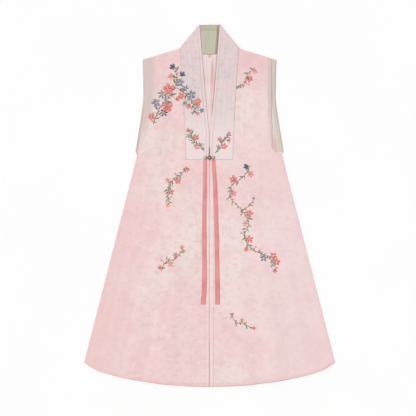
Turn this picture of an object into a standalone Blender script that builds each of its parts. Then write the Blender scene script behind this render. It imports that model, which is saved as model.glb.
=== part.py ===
"""A sleeveless open-front hanfu robe (bijia) of light silk, laid flat on its back.

The robe lies on the plane Z = 0 with its hem towards -Y, its collar towards +Y and its front facing up.
Sides are named for the wearer, so the right-hand pieces lie at -X and the left-hand ones at +X.
All sizes are metres. Every panel is a closed wall of cloth, and sewn pieces stay SEAM apart.
"""

import math

import bmesh
import bpy
from mathutils import Vector

# Cloth
WALL = 0.0012  # silk shell with its lining
COLLAR_WALL = 0.0020  # shell, interfacing and lining of the collar band
FACING_WALL = 0.0010
RIBBON_WALL = 0.0010
SEAM = 0.0003  # clearance between pieces that are sewn or lie on each other

# Lengths along the robe, measured from the middle of its total length
LENGTH = 1.142  # hem to the collar's top edge
TOP_Y = LENGTH / 2
HEM_Y = -LENGTH / 2
HEM_CORNER_Y = HEM_Y + 0.0788
NECK_POINT_Y = 0.4954  # where collar, shoulder seam and neckline meet
SHOULDER_TIP_Y = 0.4599
NECKLINE_Y = 0.4765  # lowest point of the back neckline
UNDERARM_Y = 0.1706
SIDE_TOP_Y = 0.1583
COLLAR_END_Y = 0.1451
COLLAR_MEET_Y = 0.2292  # above here the two collar bands part
ARMHOLE_BEND_Y = 0.3355
FRONT_HEM_STEP = 0.0025  # the back hem shows this far below the front hem

# Half widths
HEM_HALF = 0.3947
SIDE_TOP_HALF = 0.2278
UNDERARM_HALF = 0.2333
ARMHOLE_HALF = 0.2086
SHOULDER_HALF = 0.2110
NECK_POINT_HALF = 0.0962
COLLAR_END_HALF = 0.0737
COLLAR_TOP_HALF = 0.0332
CLOSED_HALF = 0.0005  # half the gap where the fronts meet

# Curves, as exponents of the share of their run
HEM_ARC_SHARE = 0.76  # this much of the hem's rise is a plain arc, the rest turns up near the side seams
HEM_CORNER_POWER = 14
ARMHOLE_POWER = 1.1
SHOULDER_POWER = 2
COLLAR_SEAM_POWER = 1.3
COLLAR_EDGE_POWER = 0.9

# Facings of the armholes and the neck
ARMHOLE_FACING_WIDTH = 0.038
FACING_INSET = 0.0010
NECK_FACING_INSET = 0.0006
TAB_WIDTH = 0.011
TAB_LENGTH = 0.009
TAB_WALL = 0.0008

# Heights
BACK_TOP = WALL
FACING_LOW = BACK_TOP + SEAM
FACING_TOP = FACING_LOW + FACING_WALL
FRONT_LOW = BACK_TOP + SEAM
FRONT_OVER_FACING = FACING_TOP + SEAM - FRONT_LOW  # how far the front rises over an armhole facing
NECK_FACING_LOW = COLLAR_WALL + SEAM
NECK_FACING_TOP = NECK_FACING_LOW + FACING_WALL
BAND_LOW = FRONT_LOW
BAND_LOW_AT_FOLD = NECK_FACING_TOP + SEAM
FOLD_AXIS_Z = (BAND_LOW_AT_FOLD + COLLAR_WALL) / 2
FOLD_INNER = FOLD_AXIS_Z - COLLAR_WALL
FOLD_OUTER = FOLD_AXIS_Z
FOLD_CLEAR = 0.0018  # how far the fold's lower end stays clear of the back's neck corner
NECK_TOP_ARCH = 0.0006  # how far the collar's top edge rises between the two folds
BAND_RISE_Y = 0.372  # from here up the band's seam edge rises towards the fold, within the run below
BAND_RISE_RUN = 0.060
BAND_RISE_FADE = 0.050  # the front falls back from the risen band within this width
FREE_RISE_FROM = 0.42  # share of the band's length where its free edge starts to rise, and the run of it
FREE_RISE_RUN = 0.26
FACING_RISE_MARGIN = 0.016  # the front stays risen this far past an armhole facing, then falls off
FACING_RISE_FADE = 0.036
FACING_RISE_LEAD = 0.062  # the rise starts this far below the collar's end, and is full after the run
FACING_RISE_RUN = 0.060
RIBBON_LOW = FRONT_LOW + WALL + SEAM
CLASP_LOW = BAND_LOW + COLLAR_WALL + SEAM

# Grids of a front panel and of the collar band
COLLAR_COLUMNS = 5
BODY_COLUMNS = 12
SKIRT_ROWS = 24
CHEST_ROWS = 12
BAND_COLUMNS = 4
BAND_ROWS = 14
FOLD_ROWS = 8
NECK_ROWS = 6

# How far a front's armhole edge lies inside the back's: height, then the two sides of the wearer
ARMHOLE_SET_IN = (
    # y, right, left
    (SIDE_TOP_Y, 0.0000, 0.0000),
    (UNDERARM_Y, 0.0034, 0.0270),
    (0.1860, 0.0044, 0.0325),
    (0.2200, 0.0044, 0.0278),
    (0.2600, 0.0036, 0.0220),
    (ARMHOLE_BEND_Y, 0.0020, 0.0117),
    (SHOULDER_TIP_Y, 0.0012, 0.0136),
)

# Soft folds in the two fronts. Each runs from a foot to a head and has a half width and a height at each.
# A fold whose foot is open runs out over the hem; the others die away at both ends.
FOLD_END_SHARE = 0.35  # share of its length within which a fold dies away
FOLDS = {
    "right": (
        # foot x, y, head x, y, half width at foot and head, height at foot and head, open foot
        (-0.150, -0.565, -0.092, 0.050, 0.060, 0.026, 0.0030, 0.0010, True),
        (-0.252, -0.545, -0.150, -0.060, 0.048, 0.022, 0.0024, 0.0008, True),
        (-0.325, -0.500, -0.214, -0.010, 0.032, 0.016, 0.0016, 0.0006, False),
        (-0.168, 0.170, -0.128, 0.420, 0.034, 0.026, 0.0016, 0.0012, False),
    ),
    "left": (
        (0.118, -0.565, 0.084, -0.030, 0.056, 0.026, 0.0024, 0.0008, True),
        (0.218, -0.550, 0.132, 0.070, 0.054, 0.024, 0.0031, 0.0009, True),
        (0.318, -0.510, 0.206, -0.070, 0.036, 0.018, 0.0018, 0.0006, False),
        (0.152, 0.150, 0.126, 0.380, 0.030, 0.024, 0.0014, 0.0010, False),
    ),
}

# Ribbons
RIBBON_END_Y = -0.3104
RIBBON_STEPS = 30
RIBBON_COURSE = (
    # share of the length, x of the right ribbon, x of the left ribbon, half width (drawn in at the seam)
    (0.00, -0.0134, 0.0124, 0.0060),
    (0.20, -0.0141, 0.0181, 0.0062),
    (0.34, -0.0160, 0.0206, 0.0066),
    (0.57, -0.0167, 0.0230, 0.0069),
    (0.78, -0.0155, 0.0240, 0.0072),
    (0.90, -0.0165, 0.0252, 0.0074),
    (1.00, -0.0198, 0.0256, 0.0075),
)
RIBBON_HALF_COLUMN = 3
RIBBON_LIFTS = (
    # share of the length, half span, height of a soft ripple in the ribbon
    (0.22, 0.07, 0.0008),
    (0.55, 0.10, 0.0012),
    (0.84, 0.06, 0.0009),
)

# Clasp
CLASP_Y = COLLAR_END_Y + 0.0064
PLATE_X = 0.0124
PLATE_RADIUS = 0.0060
PLATE_RIM = 0.0010
PLATE_CROWN = 0.0019
PLATE_PETALS = 5
PETAL_DEPTH = 0.14
PLATE_PROFILE = (
    # share of the radius, height, share of the petal depth
    (1.00, 0.0, 1.0),
    (1.00, PLATE_RIM, 1.0),
    (0.84, PLATE_CROWN * 0.85, 0.8),
    (0.52, PLATE_CROWN * 0.80, 0.4),
    (0.40, PLATE_CROWN * 1.20, 0.0),
    (0.20, PLATE_CROWN * 1.55, 0.0),
)
RING_OUTER = 0.0066
RING_WIRE = 0.0011
RING_LIFT = 0.0026  # centre of the ring's wire above the plate's underside
EYE_NECK_DROP = 0.0016  # the ring's neck reaches from this far below that centre to this far above it
EYE_NECK_RISE = 0.0004
BALL_RADIUS = 0.0033
NECK_HALF_WIDTH = 0.0014
NECK_WALL = 0.0008

# Facets
PLATE_AROUND = 40
RING_AROUND = 36
WIRE_AROUND = 8
BALL_SEGMENTS = 24
BALL_RINGS = 12
SHARP_ANGLE = math.radians(40)
ON_AXIS = 1e-9  # a point nearer to the middle line than this has no mirror image

MATERIALS = {
    # name: colour, roughness, metallic
    "silk": ((0.84, 0.63, 0.61), 0.62, 0.0),
    "collar_silk": ((0.78, 0.66, 0.66), 0.58, 0.0),
    "facing_silk": ((0.54, 0.53, 0.41), 0.60, 0.0),
    "ribbon_satin": ((0.75, 0.30, 0.29), 0.42, 0.0),
    "tab_cotton": ((0.74, 0.60, 0.44), 0.70, 0.0),
    "antique_brass": ((0.40, 0.33, 0.20), 0.35, 0.9),
}


def mix(a, b, t):
    return a + (b - a) * t


def clamp(t):
    return max(0.0, min(1.0, t))


def ease(t):
    """Smooth step from 0 to 1."""
    t = clamp(t)
    return t * t * (3 - 2 * t)


def from_table(rows, place, column):
    """Reads a column of a table by its first column, with a smooth step between rows."""
    if place <= rows[0][0]:
        return rows[0][column]
    for low, high in zip(rows, rows[1:]):
        if place <= high[0]:
            return mix(low[column], high[column], ease((place - low[0]) / (high[0] - low[0])))
    return rows[-1][column]


def hem_y(x):
    """Hem line: a shallow arc that turns up more sharply near the side seams."""
    share = abs(x) / HEM_HALF
    rise = HEM_CORNER_Y - HEM_Y
    return HEM_Y + rise * mix(share**HEM_CORNER_POWER, share**2, HEM_ARC_SHARE)


def side_x(y):
    """Half width at the straight side seam."""
    return mix(SIDE_TOP_HALF, HEM_HALF, (SIDE_TOP_Y - y) / (SIDE_TOP_Y - HEM_CORNER_Y))


def armhole_x(y):
    """Half width of the back at its armhole edge."""
    if y < SIDE_TOP_Y:
        return side_x(y)
    if y < UNDERARM_Y:
        return mix(SIDE_TOP_HALF, UNDERARM_HALF, (y - SIDE_TOP_Y) / (UNDERARM_Y - SIDE_TOP_Y))
    if y < ARMHOLE_BEND_Y:
        share = (ARMHOLE_BEND_Y - y) / (ARMHOLE_BEND_Y - UNDERARM_Y)
        return mix(ARMHOLE_HALF, UNDERARM_HALF, share**ARMHOLE_POWER)
    share = (y - ARMHOLE_BEND_Y) / (SHOULDER_TIP_Y - ARMHOLE_BEND_Y)
    return mix(ARMHOLE_HALF, SHOULDER_HALF, share**SHOULDER_POWER)


def collar_seam_x(y):
    """Half width of the seam between a collar band and the front, up to the fold's lower end."""
    seam_end = fold_line()[0]
    share = clamp((y - COLLAR_END_Y) / (seam_end.y - COLLAR_END_Y))
    return mix(COLLAR_END_HALF, seam_end.x, share**COLLAR_SEAM_POWER)


def neckline_y(x):
    """Back neckline, lowest in the middle."""
    return mix(NECKLINE_Y, NECK_POINT_Y, (abs(x) / NECK_POINT_HALF) ** 2)


def collar_edge_x(y):
    """Half the gape between the free edges of the collar bands."""
    share = clamp((y - COLLAR_MEET_Y) / (fold_line()[1].y - COLLAR_MEET_Y))
    return mix(CLOSED_HALF, fold_line()[1].x, share**COLLAR_EDGE_POWER)


def fold_line():
    """Axis about which a band folds over to the back: its seam end and its free end, on the +X side."""
    along = Vector((COLLAR_TOP_HALF - NECK_POINT_HALF, TOP_Y - NECK_POINT_Y)).normalized()
    outward = Vector((along.y, -along.x))
    seam_end = Vector((NECK_POINT_HALF - SEAM, NECK_POINT_Y)) - outward * FOLD_OUTER + along * FOLD_CLEAR
    free_end = Vector((COLLAR_TOP_HALF, TOP_Y)) - outward * FOLD_OUTER
    free_end.y = TOP_Y - FOLD_OUTER * outward.y
    return seam_end, free_end, outward


def fold_height(side, x, y):
    """Height that the soft folds of one front add at a point."""
    height = 0.0
    for foot_x, foot_y, head_x, head_y, foot_half, head_half, foot_high, head_high, open_foot in FOLDS[side]:
        foot = Vector((foot_x, foot_y))
        run = Vector((head_x, head_y)) - foot
        share = (Vector((x, y)) - foot).dot(run) / run.length_squared
        nearest = foot + run * share
        half = mix(foot_half, head_half, clamp(share))
        across = (Vector((x, y)) - nearest).length / half
        if across >= 1:
            continue
        ends = ease((1 - share) / FOLD_END_SHARE)
        if not open_foot:
            ends *= ease(share / FOLD_END_SHARE)
        crest = mix(foot_high, head_high, clamp(share)) * ends
        height += crest * math.cos(across * math.pi / 2) ** 2
    return height


def facing_rise(x, y):
    """Share of the rise over the armhole facing: full on the facing and past it, then fading."""
    inside = armhole_x(max(y, UNDERARM_Y)) - abs(x)
    across = 1 - ease((inside - ARMHOLE_FACING_WIDTH - FACING_RISE_MARGIN) / FACING_RISE_FADE)
    along = ease((y - COLLAR_END_Y + FACING_RISE_LEAD) / FACING_RISE_RUN)
    return across * along


def band_rise_at_seam(y):
    """Share of the band's rise towards the fold, along the seam between band and front."""
    return ease((y - BAND_RISE_Y) / BAND_RISE_RUN)


def front_low(side, x, y):
    """Underside of a front panel at a point."""
    beside_band = (BAND_LOW_AT_FOLD - FRONT_LOW) * band_rise_at_seam(y)
    beside_band *= 1 - ease((abs(x) - NECK_POINT_HALF) / BAND_RISE_FADE)
    return FRONT_LOW + max(FRONT_OVER_FACING * facing_rise(x, y), beside_band) + fold_height(side, x, y)


def make_material(name):
    colour, roughness, metallic = MATERIALS[name]
    material = bpy.data.materials.get(name) or bpy.data.materials.new(name)
    material.use_nodes = True
    shader = material.node_tree.nodes["Principled BSDF"]
    shader.inputs["Base Color"].default_value = (*colour, 1.0)
    shader.inputs["Roughness"].default_value = roughness
    shader.inputs["Metallic"].default_value = metallic
    return material


def add_object(name, mesh, material, smooth=True):
    mesh.materials.append(make_material(material))
    if smooth:
        mesh.shade_smooth()
        mesh.set_sharp_from_angle(angle=SHARP_ANGLE)
    piece = bpy.data.objects.new(name, mesh)
    bpy.context.scene.collection.objects.link(piece)
    return piece


def cell_solid(name, points, cells, material):
    """A wall of cloth from square cells: points maps (column, row) to (x, y, low z, high z)."""
    shell = bmesh.new()
    low = {}
    high = {}
    used = {corner for c, r in cells for corner in ((c, r), (c + 1, r), (c + 1, r + 1), (c, r + 1))}
    for key in sorted(used):
        x, y, z_low, z_high = points[key]
        low[key] = shell.verts.new((x, y, z_low))
        high[key] = shell.verts.new((x, y, z_high))
    edges = {}
    for c, r in cells:
        ring = [(c, r), (c + 1, r), (c + 1, r + 1), (c, r + 1)]
        shell.faces.new([high[key] for key in ring])
        shell.faces.new([low[key] for key in reversed(ring)])
        for start, end in zip(ring, ring[1:] + ring[:1]):
            if (end, start) in edges:
                del edges[(end, start)]
            else:
                edges[(start, end)] = True
    for start, end in edges:
        shell.faces.new([low[start], low[end], high[end], high[start]])
    bmesh.ops.recalc_face_normals(shell, faces=shell.faces)
    mesh = bpy.data.meshes.new(name)
    shell.to_mesh(mesh)
    shell.free()
    return add_object(name, mesh, material)


def flat_sheet(name, outline, low, high, material):
    """A flat wall of cloth from its outline, a list of (x, y) in order."""
    shell = bmesh.new()
    face = shell.faces.new([shell.verts.new((x, y, low)) for x, y in outline])
    lifted = bmesh.ops.extrude_face_region(shell, geom=[face])
    raised = [v for v in lifted["geom"] if isinstance(v, bmesh.types.BMVert)]
    bmesh.ops.translate(shell, verts=raised, vec=(0, 0, high - low))
    bmesh.ops.recalc_face_normals(shell, faces=shell.faces)
    mesh = bpy.data.meshes.new(name)
    shell.to_mesh(mesh)
    shell.free()
    return add_object(name, mesh, material)


def mirrored(half):
    """A closed outline from its +X half, listed from the middle of the hem round to the middle of the top."""
    return half + [(-x, y) for x, y in reversed(half) if abs(x) > ON_AXIS]


def steps(count, start=0.0, end=1.0):
    return [mix(start, end, n / count) for n in range(count + 1)]


def back_panel():
    half = [(HEM_HALF * share, hem_y(HEM_HALF * share)) for share in steps(28)]
    half += [(side_x(y), y) for y in steps(8, HEM_CORNER_Y, SIDE_TOP_Y)[1:]]
    half += [(armhole_x(y), y) for y in steps(9, UNDERARM_Y, ARMHOLE_BEND_Y)]
    half += [(armhole_x(y), y) for y in steps(4, ARMHOLE_BEND_Y, SHOULDER_TIP_Y)[1:]]
    half += [(NECK_POINT_HALF * share, neckline_y(NECK_POINT_HALF * share)) for share in steps(10, 1.0, 0.0)]
    return flat_sheet("back", mirrored(half), 0.0, WALL, "silk")


def front_columns(row_share):
    """x of each column below the collar, at a share of the way from the collar's end (0) to the hem (1)."""
    widen = mix(1.0, HEM_HALF / side_x(COLLAR_END_Y), row_share)
    seam = COLLAR_END_HALF + SEAM
    inner = steps(COLLAR_COLUMNS, CLOSED_HALF, seam)
    outer = steps(BODY_COLUMNS, seam, side_x(COLLAR_END_Y))[1:]
    return [x * widen for x in inner + outer]


def front_panel(name, side):
    sign = 1 if side == "left" else -1
    set_in = 2 if side == "left" else 1
    points = {}

    def place(column, row, x, y):
        low = front_low(side, sign * x, y)
        points[(column, row)] = (sign * x, y, low, low + WALL)

    at_hem = front_columns(1.0)
    for row, share in enumerate(steps(SKIRT_ROWS)):
        for column, x in enumerate(front_columns(1 - share)):
            hem = hem_y(at_hem[column]) + FRONT_HEM_STEP * (1 - (at_hem[column] / HEM_HALF) ** 2)
            y = mix(hem, COLLAR_END_Y, share)
            if row == SKIRT_ROWS and column <= COLLAR_COLUMNS:
                y -= SEAM
            place(column, row, x, y)
    edge_levels = [SIDE_TOP_Y, *steps(CHEST_ROWS - 2, UNDERARM_Y, SHOULDER_TIP_Y)]
    top_row = SKIRT_ROWS + len(edge_levels)
    for row, edge_y in enumerate(edge_levels, start=SKIRT_ROWS + 1):
        share = (edge_y - COLLAR_END_Y) / (SHOULDER_TIP_Y - COLLAR_END_Y)
        seam_y = mix(COLLAR_END_Y, fold_line()[0].y - SEAM, share)
        seam_x = collar_seam_x(seam_y) + SEAM
        edge_x = armhole_x(edge_y) - from_table(ARMHOLE_SET_IN, edge_y, set_in)
        for column, across in enumerate(steps(BODY_COLUMNS), start=COLLAR_COLUMNS):
            place(column, row, mix(seam_x, edge_x, across), mix(seam_y, edge_y, across))
    columns = COLLAR_COLUMNS + BODY_COLUMNS
    cells = [(c, r) for r in range(SKIRT_ROWS) for c in range(columns)]
    cells += [(c, r) for r in range(SKIRT_ROWS, top_row) for c in range(COLLAR_COLUMNS, columns)]
    return cell_solid(name, points, cells, "silk")


def band_section(seam_point, free_point, to_outer, to_inner):
    """One section across the collar band: the outer face from seam to free edge, then the inner face back.

    The two last numbers are the heights of the faces above the line from the seam to the free edge.
    """
    line = [seam_point.lerp(free_point, t) for t in steps(BAND_COLUMNS)]
    outer = [(p.x, p.y, p.z + to_outer) for p in line]
    inner = [(p.x, p.y, p.z + to_inner) for p in reversed(line)]
    return outer + inner


def half_collar_sections():
    """Sections of the +X half, from the band's lower end, round the fold, to the middle of the back."""
    seam_end, free_end, outward = fold_line()
    sections = []
    for share in steps(BAND_ROWS):
        seam_y = mix(COLLAR_END_Y, seam_end.y, share)
        seam_x = collar_seam_x(seam_y)
        free_y = mix(COLLAR_END_Y, free_end.y, share)
        seam_low = mix(BAND_LOW, BAND_LOW_AT_FOLD, band_rise_at_seam(seam_y))
        free_low = mix(BAND_LOW, BAND_LOW_AT_FOLD, ease((share - FREE_RISE_FROM) / FREE_RISE_RUN))
        seam_point = Vector((seam_x, seam_y, seam_low))
        free_point = Vector((collar_edge_x(free_y), free_y, free_low))
        sections.append(band_section(seam_point, free_point, COLLAR_WALL, 0.0))
    for angle in steps(FOLD_ROWS, 0.0, math.pi)[1:]:
        turned = []
        for radius in (FOLD_OUTER, FOLD_INNER):
            move = Vector((*(outward * radius * math.sin(angle)), FOLD_AXIS_Z + radius * math.cos(angle)))
            turned.append(band_section(seam_end.to_3d() + move, free_end.to_3d() + move, 0.0, 0.0))
        half = len(turned[0]) // 2
        sections.append(turned[0][:half] + turned[1][half:])
    neck_top = free_end.y + NECK_TOP_ARCH
    for share in steps(NECK_ROWS, 1.0, 0.0)[1:]:
        seam_x = seam_end.x * share
        seam_point = Vector((seam_x, neckline_y(seam_x) + SEAM, 0.0))
        free_point = Vector((free_end.x * share, mix(neck_top, free_end.y, share**2), 0.0))
        sections.append(band_section(seam_point, free_point, 0.0, COLLAR_WALL))
    return sections


def collar():
    """The whole band in one piece: up one front, round the back of the neck and down the other front."""
    half = half_collar_sections()
    other = [[(-x, y, z) for x, y, z in section] for section in reversed(half[:-1])]
    sections = half + other
    shell = bmesh.new()
    rings = [[shell.verts.new(p) for p in section] for section in sections]
    for ring, following in zip(rings, rings[1:]):
        for n in range(len(ring)):
            m = (n + 1) % len(ring)
            shell.faces.new([ring[n], ring[m], following[m], following[n]])
    shell.faces.new(list(reversed(rings[0])))
    shell.faces.new(rings[-1])
    bmesh.ops.recalc_face_normals(shell, faces=shell.faces)
    mesh = bpy.data.meshes.new("collar")
    shell.to_mesh(mesh)
    shell.free()
    return add_object("collar", mesh, "collar_silk")


def collar_facing():
    """Sage lining of the collar, which shows between the two bands behind the neck."""
    seam_end, free_end, outward = fold_line()
    corner = seam_end - outward * FACING_INSET
    top = free_end - outward * FACING_INSET
    top.y = min(top.y, free_end.y - NECK_FACING_INSET)
    middle = free_end.y + NECK_TOP_ARCH - NECK_FACING_INSET
    half = [(corner.x * s, neckline_y(corner.x * s) + SEAM + NECK_FACING_INSET) for s in steps(8)]
    half += [(top.x * s, mix(middle, top.y, s**2)) for s in steps(2, 1.0, 0.0)]
    return flat_sheet("collar_facing", mirrored(half), NECK_FACING_LOW, NECK_FACING_TOP, "facing_silk")


def armhole_facing(name, sign):
    """Sage strip inside the back armhole, whose outer part shows past the front's armhole edge."""
    levels = steps(12, UNDERARM_Y + FACING_INSET, SHOULDER_TIP_Y - 2 * FACING_INSET)
    outer = [(armhole_x(y) - FACING_INSET, y) for y in levels]
    inner = [(x - ARMHOLE_FACING_WIDTH, y) for x, y in reversed(outer)]
    rise = (NECK_POINT_Y - SHOULDER_TIP_Y) / (SHOULDER_HALF - NECK_POINT_HALF) * ARMHOLE_FACING_WIDTH
    inner[0] = (inner[0][0], inner[0][1] + rise)
    outline = [(sign * x, y) for x, y in outer + inner]
    return flat_sheet(name, outline, FACING_LOW, FACING_TOP, "facing_silk")


def neck_tab():
    """Blank woven tab, sewn in at the middle of the back neckline."""
    top = NECKLINE_Y - SEAM
    half = TAB_WIDTH / 2
    outline = [(-half, top - TAB_LENGTH), (half, top - TAB_LENGTH), (half, top), (-half, top)]
    return flat_sheet("neck_tab", outline, FACING_LOW, FACING_LOW + TAB_WALL, "tab_cotton")


def ribbon(name, column):
    """A satin tie that hangs from the end of the collar band and lies on the front."""
    points = {}
    start = COLLAR_END_Y - SEAM
    for row, share in enumerate(steps(RIBBON_STEPS)):
        middle = from_table(RIBBON_COURSE, share, column)
        half = from_table(RIBBON_COURSE, share, RIBBON_HALF_COLUMN)
        lift = 0.0
        for centre, half_span, height in RIBBON_LIFTS:
            away = abs(share - centre) / half_span
            if away < 1:
                lift += height * math.cos(away * math.pi / 2) ** 2
        y = mix(start, RIBBON_END_Y, share)
        low = RIBBON_LOW + lift
        for edge, x in enumerate((middle - half, middle, middle + half)):
            points[(edge, row)] = (x, y, low, low + RIBBON_WALL)
    cells = [(edge, row) for row in range(RIBBON_STEPS) for edge in range(2)]
    return cell_solid(name, points, cells, "ribbon_satin")


def helper(name, mesh):
    """A hidden solid that a Boolean joins to a shown one."""
    guide = bpy.data.objects.new(name, mesh)
    bpy.context.scene.collection.objects.link(guide)
    guide.hide_render = True
    guide.display_type = "WIRE"
    return guide


def join(piece, guide):
    union = piece.modifiers.new("join " + guide.name, "BOOLEAN")
    union.operation = "UNION"
    union.object = guide


def flower_plate_mesh(name, centre_x):
    """A low domed plate with rounded petals and a boss in the middle."""
    shell = bmesh.new()
    rings = []
    for share, height, petals in PLATE_PROFILE:
        ring = []
        for n in range(PLATE_AROUND):
            angle = 2 * math.pi * n / PLATE_AROUND
            notch = 1 - PETAL_DEPTH * petals * (1 - abs(math.cos(PLATE_PETALS * angle / 2)))
            radius = PLATE_RADIUS * share * notch
            x = centre_x + radius * math.cos(angle)
            y = CLASP_Y + radius * math.sin(angle)
            ring.append(shell.verts.new((x, y, CLASP_LOW + height)))
        rings.append(ring)
    for ring, following in zip(rings, rings[1:]):
        for n in range(PLATE_AROUND):
            m = (n + 1) % PLATE_AROUND
            shell.faces.new([ring[n], ring[m], following[m], following[n]])
    shell.faces.new(list(reversed(rings[0])))
    shell.faces.new(rings[-1])
    bmesh.ops.recalc_face_normals(shell, faces=shell.faces)
    mesh = bpy.data.meshes.new(name)
    shell.to_mesh(mesh)
    shell.free()
    return mesh


def bar_mesh(name, x_from, x_to, z_low, z_high):
    """A flat neck of metal between a plate and its ring or ball."""
    shell = bmesh.new()
    bmesh.ops.create_cube(shell, size=1.0)
    bmesh.ops.scale(shell, verts=shell.verts, vec=(abs(x_to - x_from), 2 * NECK_HALF_WIDTH, z_high - z_low))
    middle = ((x_from + x_to) / 2, CLASP_Y, (z_low + z_high) / 2)
    bmesh.ops.translate(shell, verts=shell.verts, vec=middle)
    mesh = bpy.data.meshes.new(name)
    shell.to_mesh(mesh)
    shell.free()
    return mesh


def ring_mesh(name):
    """The eye of the clasp: a round wire ring that the ball sits in."""
    middle = RING_OUTER - RING_WIRE
    shell = bmesh.new()
    rings = []
    for n in range(RING_AROUND):
        angle = 2 * math.pi * n / RING_AROUND
        ring = []
        for m in range(WIRE_AROUND):
            turn = 2 * math.pi * m / WIRE_AROUND
            radius = middle + RING_WIRE * math.cos(turn)
            height = CLASP_LOW + RING_LIFT + RING_WIRE * math.sin(turn)
            point = (radius * math.cos(angle), CLASP_Y + radius * math.sin(angle), height)
            ring.append(shell.verts.new(point))
        rings.append(ring)
    for ring, following in zip(rings, rings[1:] + rings[:1]):
        for m in range(WIRE_AROUND):
            k = (m + 1) % WIRE_AROUND
            shell.faces.new([ring[m], ring[k], following[k], following[m]])
    bmesh.ops.recalc_face_normals(shell, faces=shell.faces)
    mesh = bpy.data.meshes.new(name)
    shell.to_mesh(mesh)
    shell.free()
    return mesh


def clasp_eye():
    """Plate with the ring, sewn to the wearer's right band."""
    plate = add_object("clasp_eye", flower_plate_mesh("clasp_eye", -PLATE_X), "antique_brass")
    wire = CLASP_LOW + RING_LIFT
    neck_end = -(RING_OUTER - RING_WIRE)
    neck = bar_mesh("eye neck", -PLATE_X, neck_end, wire - EYE_NECK_DROP, wire + EYE_NECK_RISE)
    join(plate, helper("eye_neck", neck))
    join(plate, helper("eye_ring", ring_mesh("eye ring")))
    return plate


def clasp_ball():
    """Plate with the ball, sewn to the wearer's left band; its neck passes under the ring."""
    plate = add_object("clasp_ball", flower_plate_mesh("clasp_ball", PLATE_X), "antique_brass")
    neck = bar_mesh("ball neck", 0.0, PLATE_X, CLASP_LOW, CLASP_LOW + NECK_WALL)
    join(plate, helper("ball_neck", neck))
    ball = bmesh.new()
    bmesh.ops.create_uvsphere(ball, u_segments=BALL_SEGMENTS, v_segments=BALL_RINGS, radius=BALL_RADIUS)
    bmesh.ops.translate(ball, verts=ball.verts, vec=(0, CLASP_Y, CLASP_LOW + SEAM + BALL_RADIUS))
    mesh = bpy.data.meshes.new("ball")
    ball.to_mesh(mesh)
    ball.free()
    join(plate, helper("ball", mesh))
    return plate


def build():
    for piece in list(bpy.data.objects):
        bpy.data.objects.remove(piece)
    back_panel()
    front_panel("front_right", "right")
    front_panel("front_left", "left")
    collar()
    collar_facing()
    armhole_facing("armhole_facing_right", -1)
    armhole_facing("armhole_facing_left", 1)
    neck_tab()
    ribbon("ribbon_right", 1)
    ribbon("ribbon_left", 2)
    clasp_eye()
    clasp_ball()


build()
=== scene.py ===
"""Dresses the hanfu robe: silk, sage linings, coral ribbons, a brass clasp, stitching and embroidery."""

import math
import random

import bmesh
import bpy
import numpy as np
from mathutils import Matrix, Vector
from mathutils.bvhtree import BVHTree


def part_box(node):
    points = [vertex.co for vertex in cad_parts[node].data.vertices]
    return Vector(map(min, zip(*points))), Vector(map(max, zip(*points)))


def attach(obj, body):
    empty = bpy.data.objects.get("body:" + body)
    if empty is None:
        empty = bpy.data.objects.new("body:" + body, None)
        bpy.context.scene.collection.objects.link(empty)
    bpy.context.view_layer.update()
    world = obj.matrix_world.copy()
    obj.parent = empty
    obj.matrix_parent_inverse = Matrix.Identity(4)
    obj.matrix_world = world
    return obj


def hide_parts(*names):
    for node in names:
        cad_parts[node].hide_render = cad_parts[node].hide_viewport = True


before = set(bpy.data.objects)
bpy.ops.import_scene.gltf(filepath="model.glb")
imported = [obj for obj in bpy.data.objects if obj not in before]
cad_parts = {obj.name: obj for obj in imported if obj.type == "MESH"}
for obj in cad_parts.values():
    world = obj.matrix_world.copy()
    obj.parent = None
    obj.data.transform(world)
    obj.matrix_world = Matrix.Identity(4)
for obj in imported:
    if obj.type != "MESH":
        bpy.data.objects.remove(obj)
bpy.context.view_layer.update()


# Studio: the robe lies on a pale paper floor under an even sky and one broad distant lamp, as in a catalogue.
# The camera hangs straight above it and looks down through a long lens, with the collar at the top.
PICTURE_WIDTH = 1.3104
PICTURE_MIDDLE = (-0.0045, -0.0071)
LENS = 100.0
SENSOR = 36.0
SKY_STRENGTH = 0.555
LAMP_SPREAD = 34.0  # degrees across, which softens the shadows
LAMP_PLACE = (-0.80, 0.72, 1.8)
LAMP_STRENGTH = 1.765
FLOOR_DROP = 0.0006  # the floor's surface lies just under the cloth
FLOOR_CORNERS = ((-6, -6), (6, -6), (6, 6), (-6, 6))


def tone(red, green, blue):
    """A colour as the eye names it, 0 to 255 a channel, in the light values that shaders use."""
    linear = [((c / 255 + 0.055) / 1.055) ** 2.4 if c > 10 else c / 255 / 12.92 for c in (red, green, blue)]
    return (*linear, 1.0)


class Wire:
    """A value that runs between shader nodes. A sum with it adds the Math node that works it out."""

    def __init__(self, paint, socket):
        self.paint = paint
        self.socket = socket

    def __add__(self, other):
        return self.paint.math("ADD", self, other)

    def __sub__(self, other):
        return self.paint.math("SUBTRACT", self, other)

    def __rsub__(self, other):
        return self.paint.math("SUBTRACT", other, self)

    def __mul__(self, other):
        return self.paint.math("MULTIPLY", self, other)

    __radd__ = __add__
    __rmul__ = __mul__


def add_node(tree, kind, settings, inputs):
    """Adds one node to a tree: its settings first, then the values or sockets of its inputs."""
    node = tree.nodes.new(kind)
    for setting, value in settings.items():
        setattr(node, setting, value)
    for name, value in inputs.items():
        if isinstance(value, bpy.types.NodeSocket):
            tree.links.new(value, node.inputs[name])
        else:
            node.inputs[name].default_value = value
    return node


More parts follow.
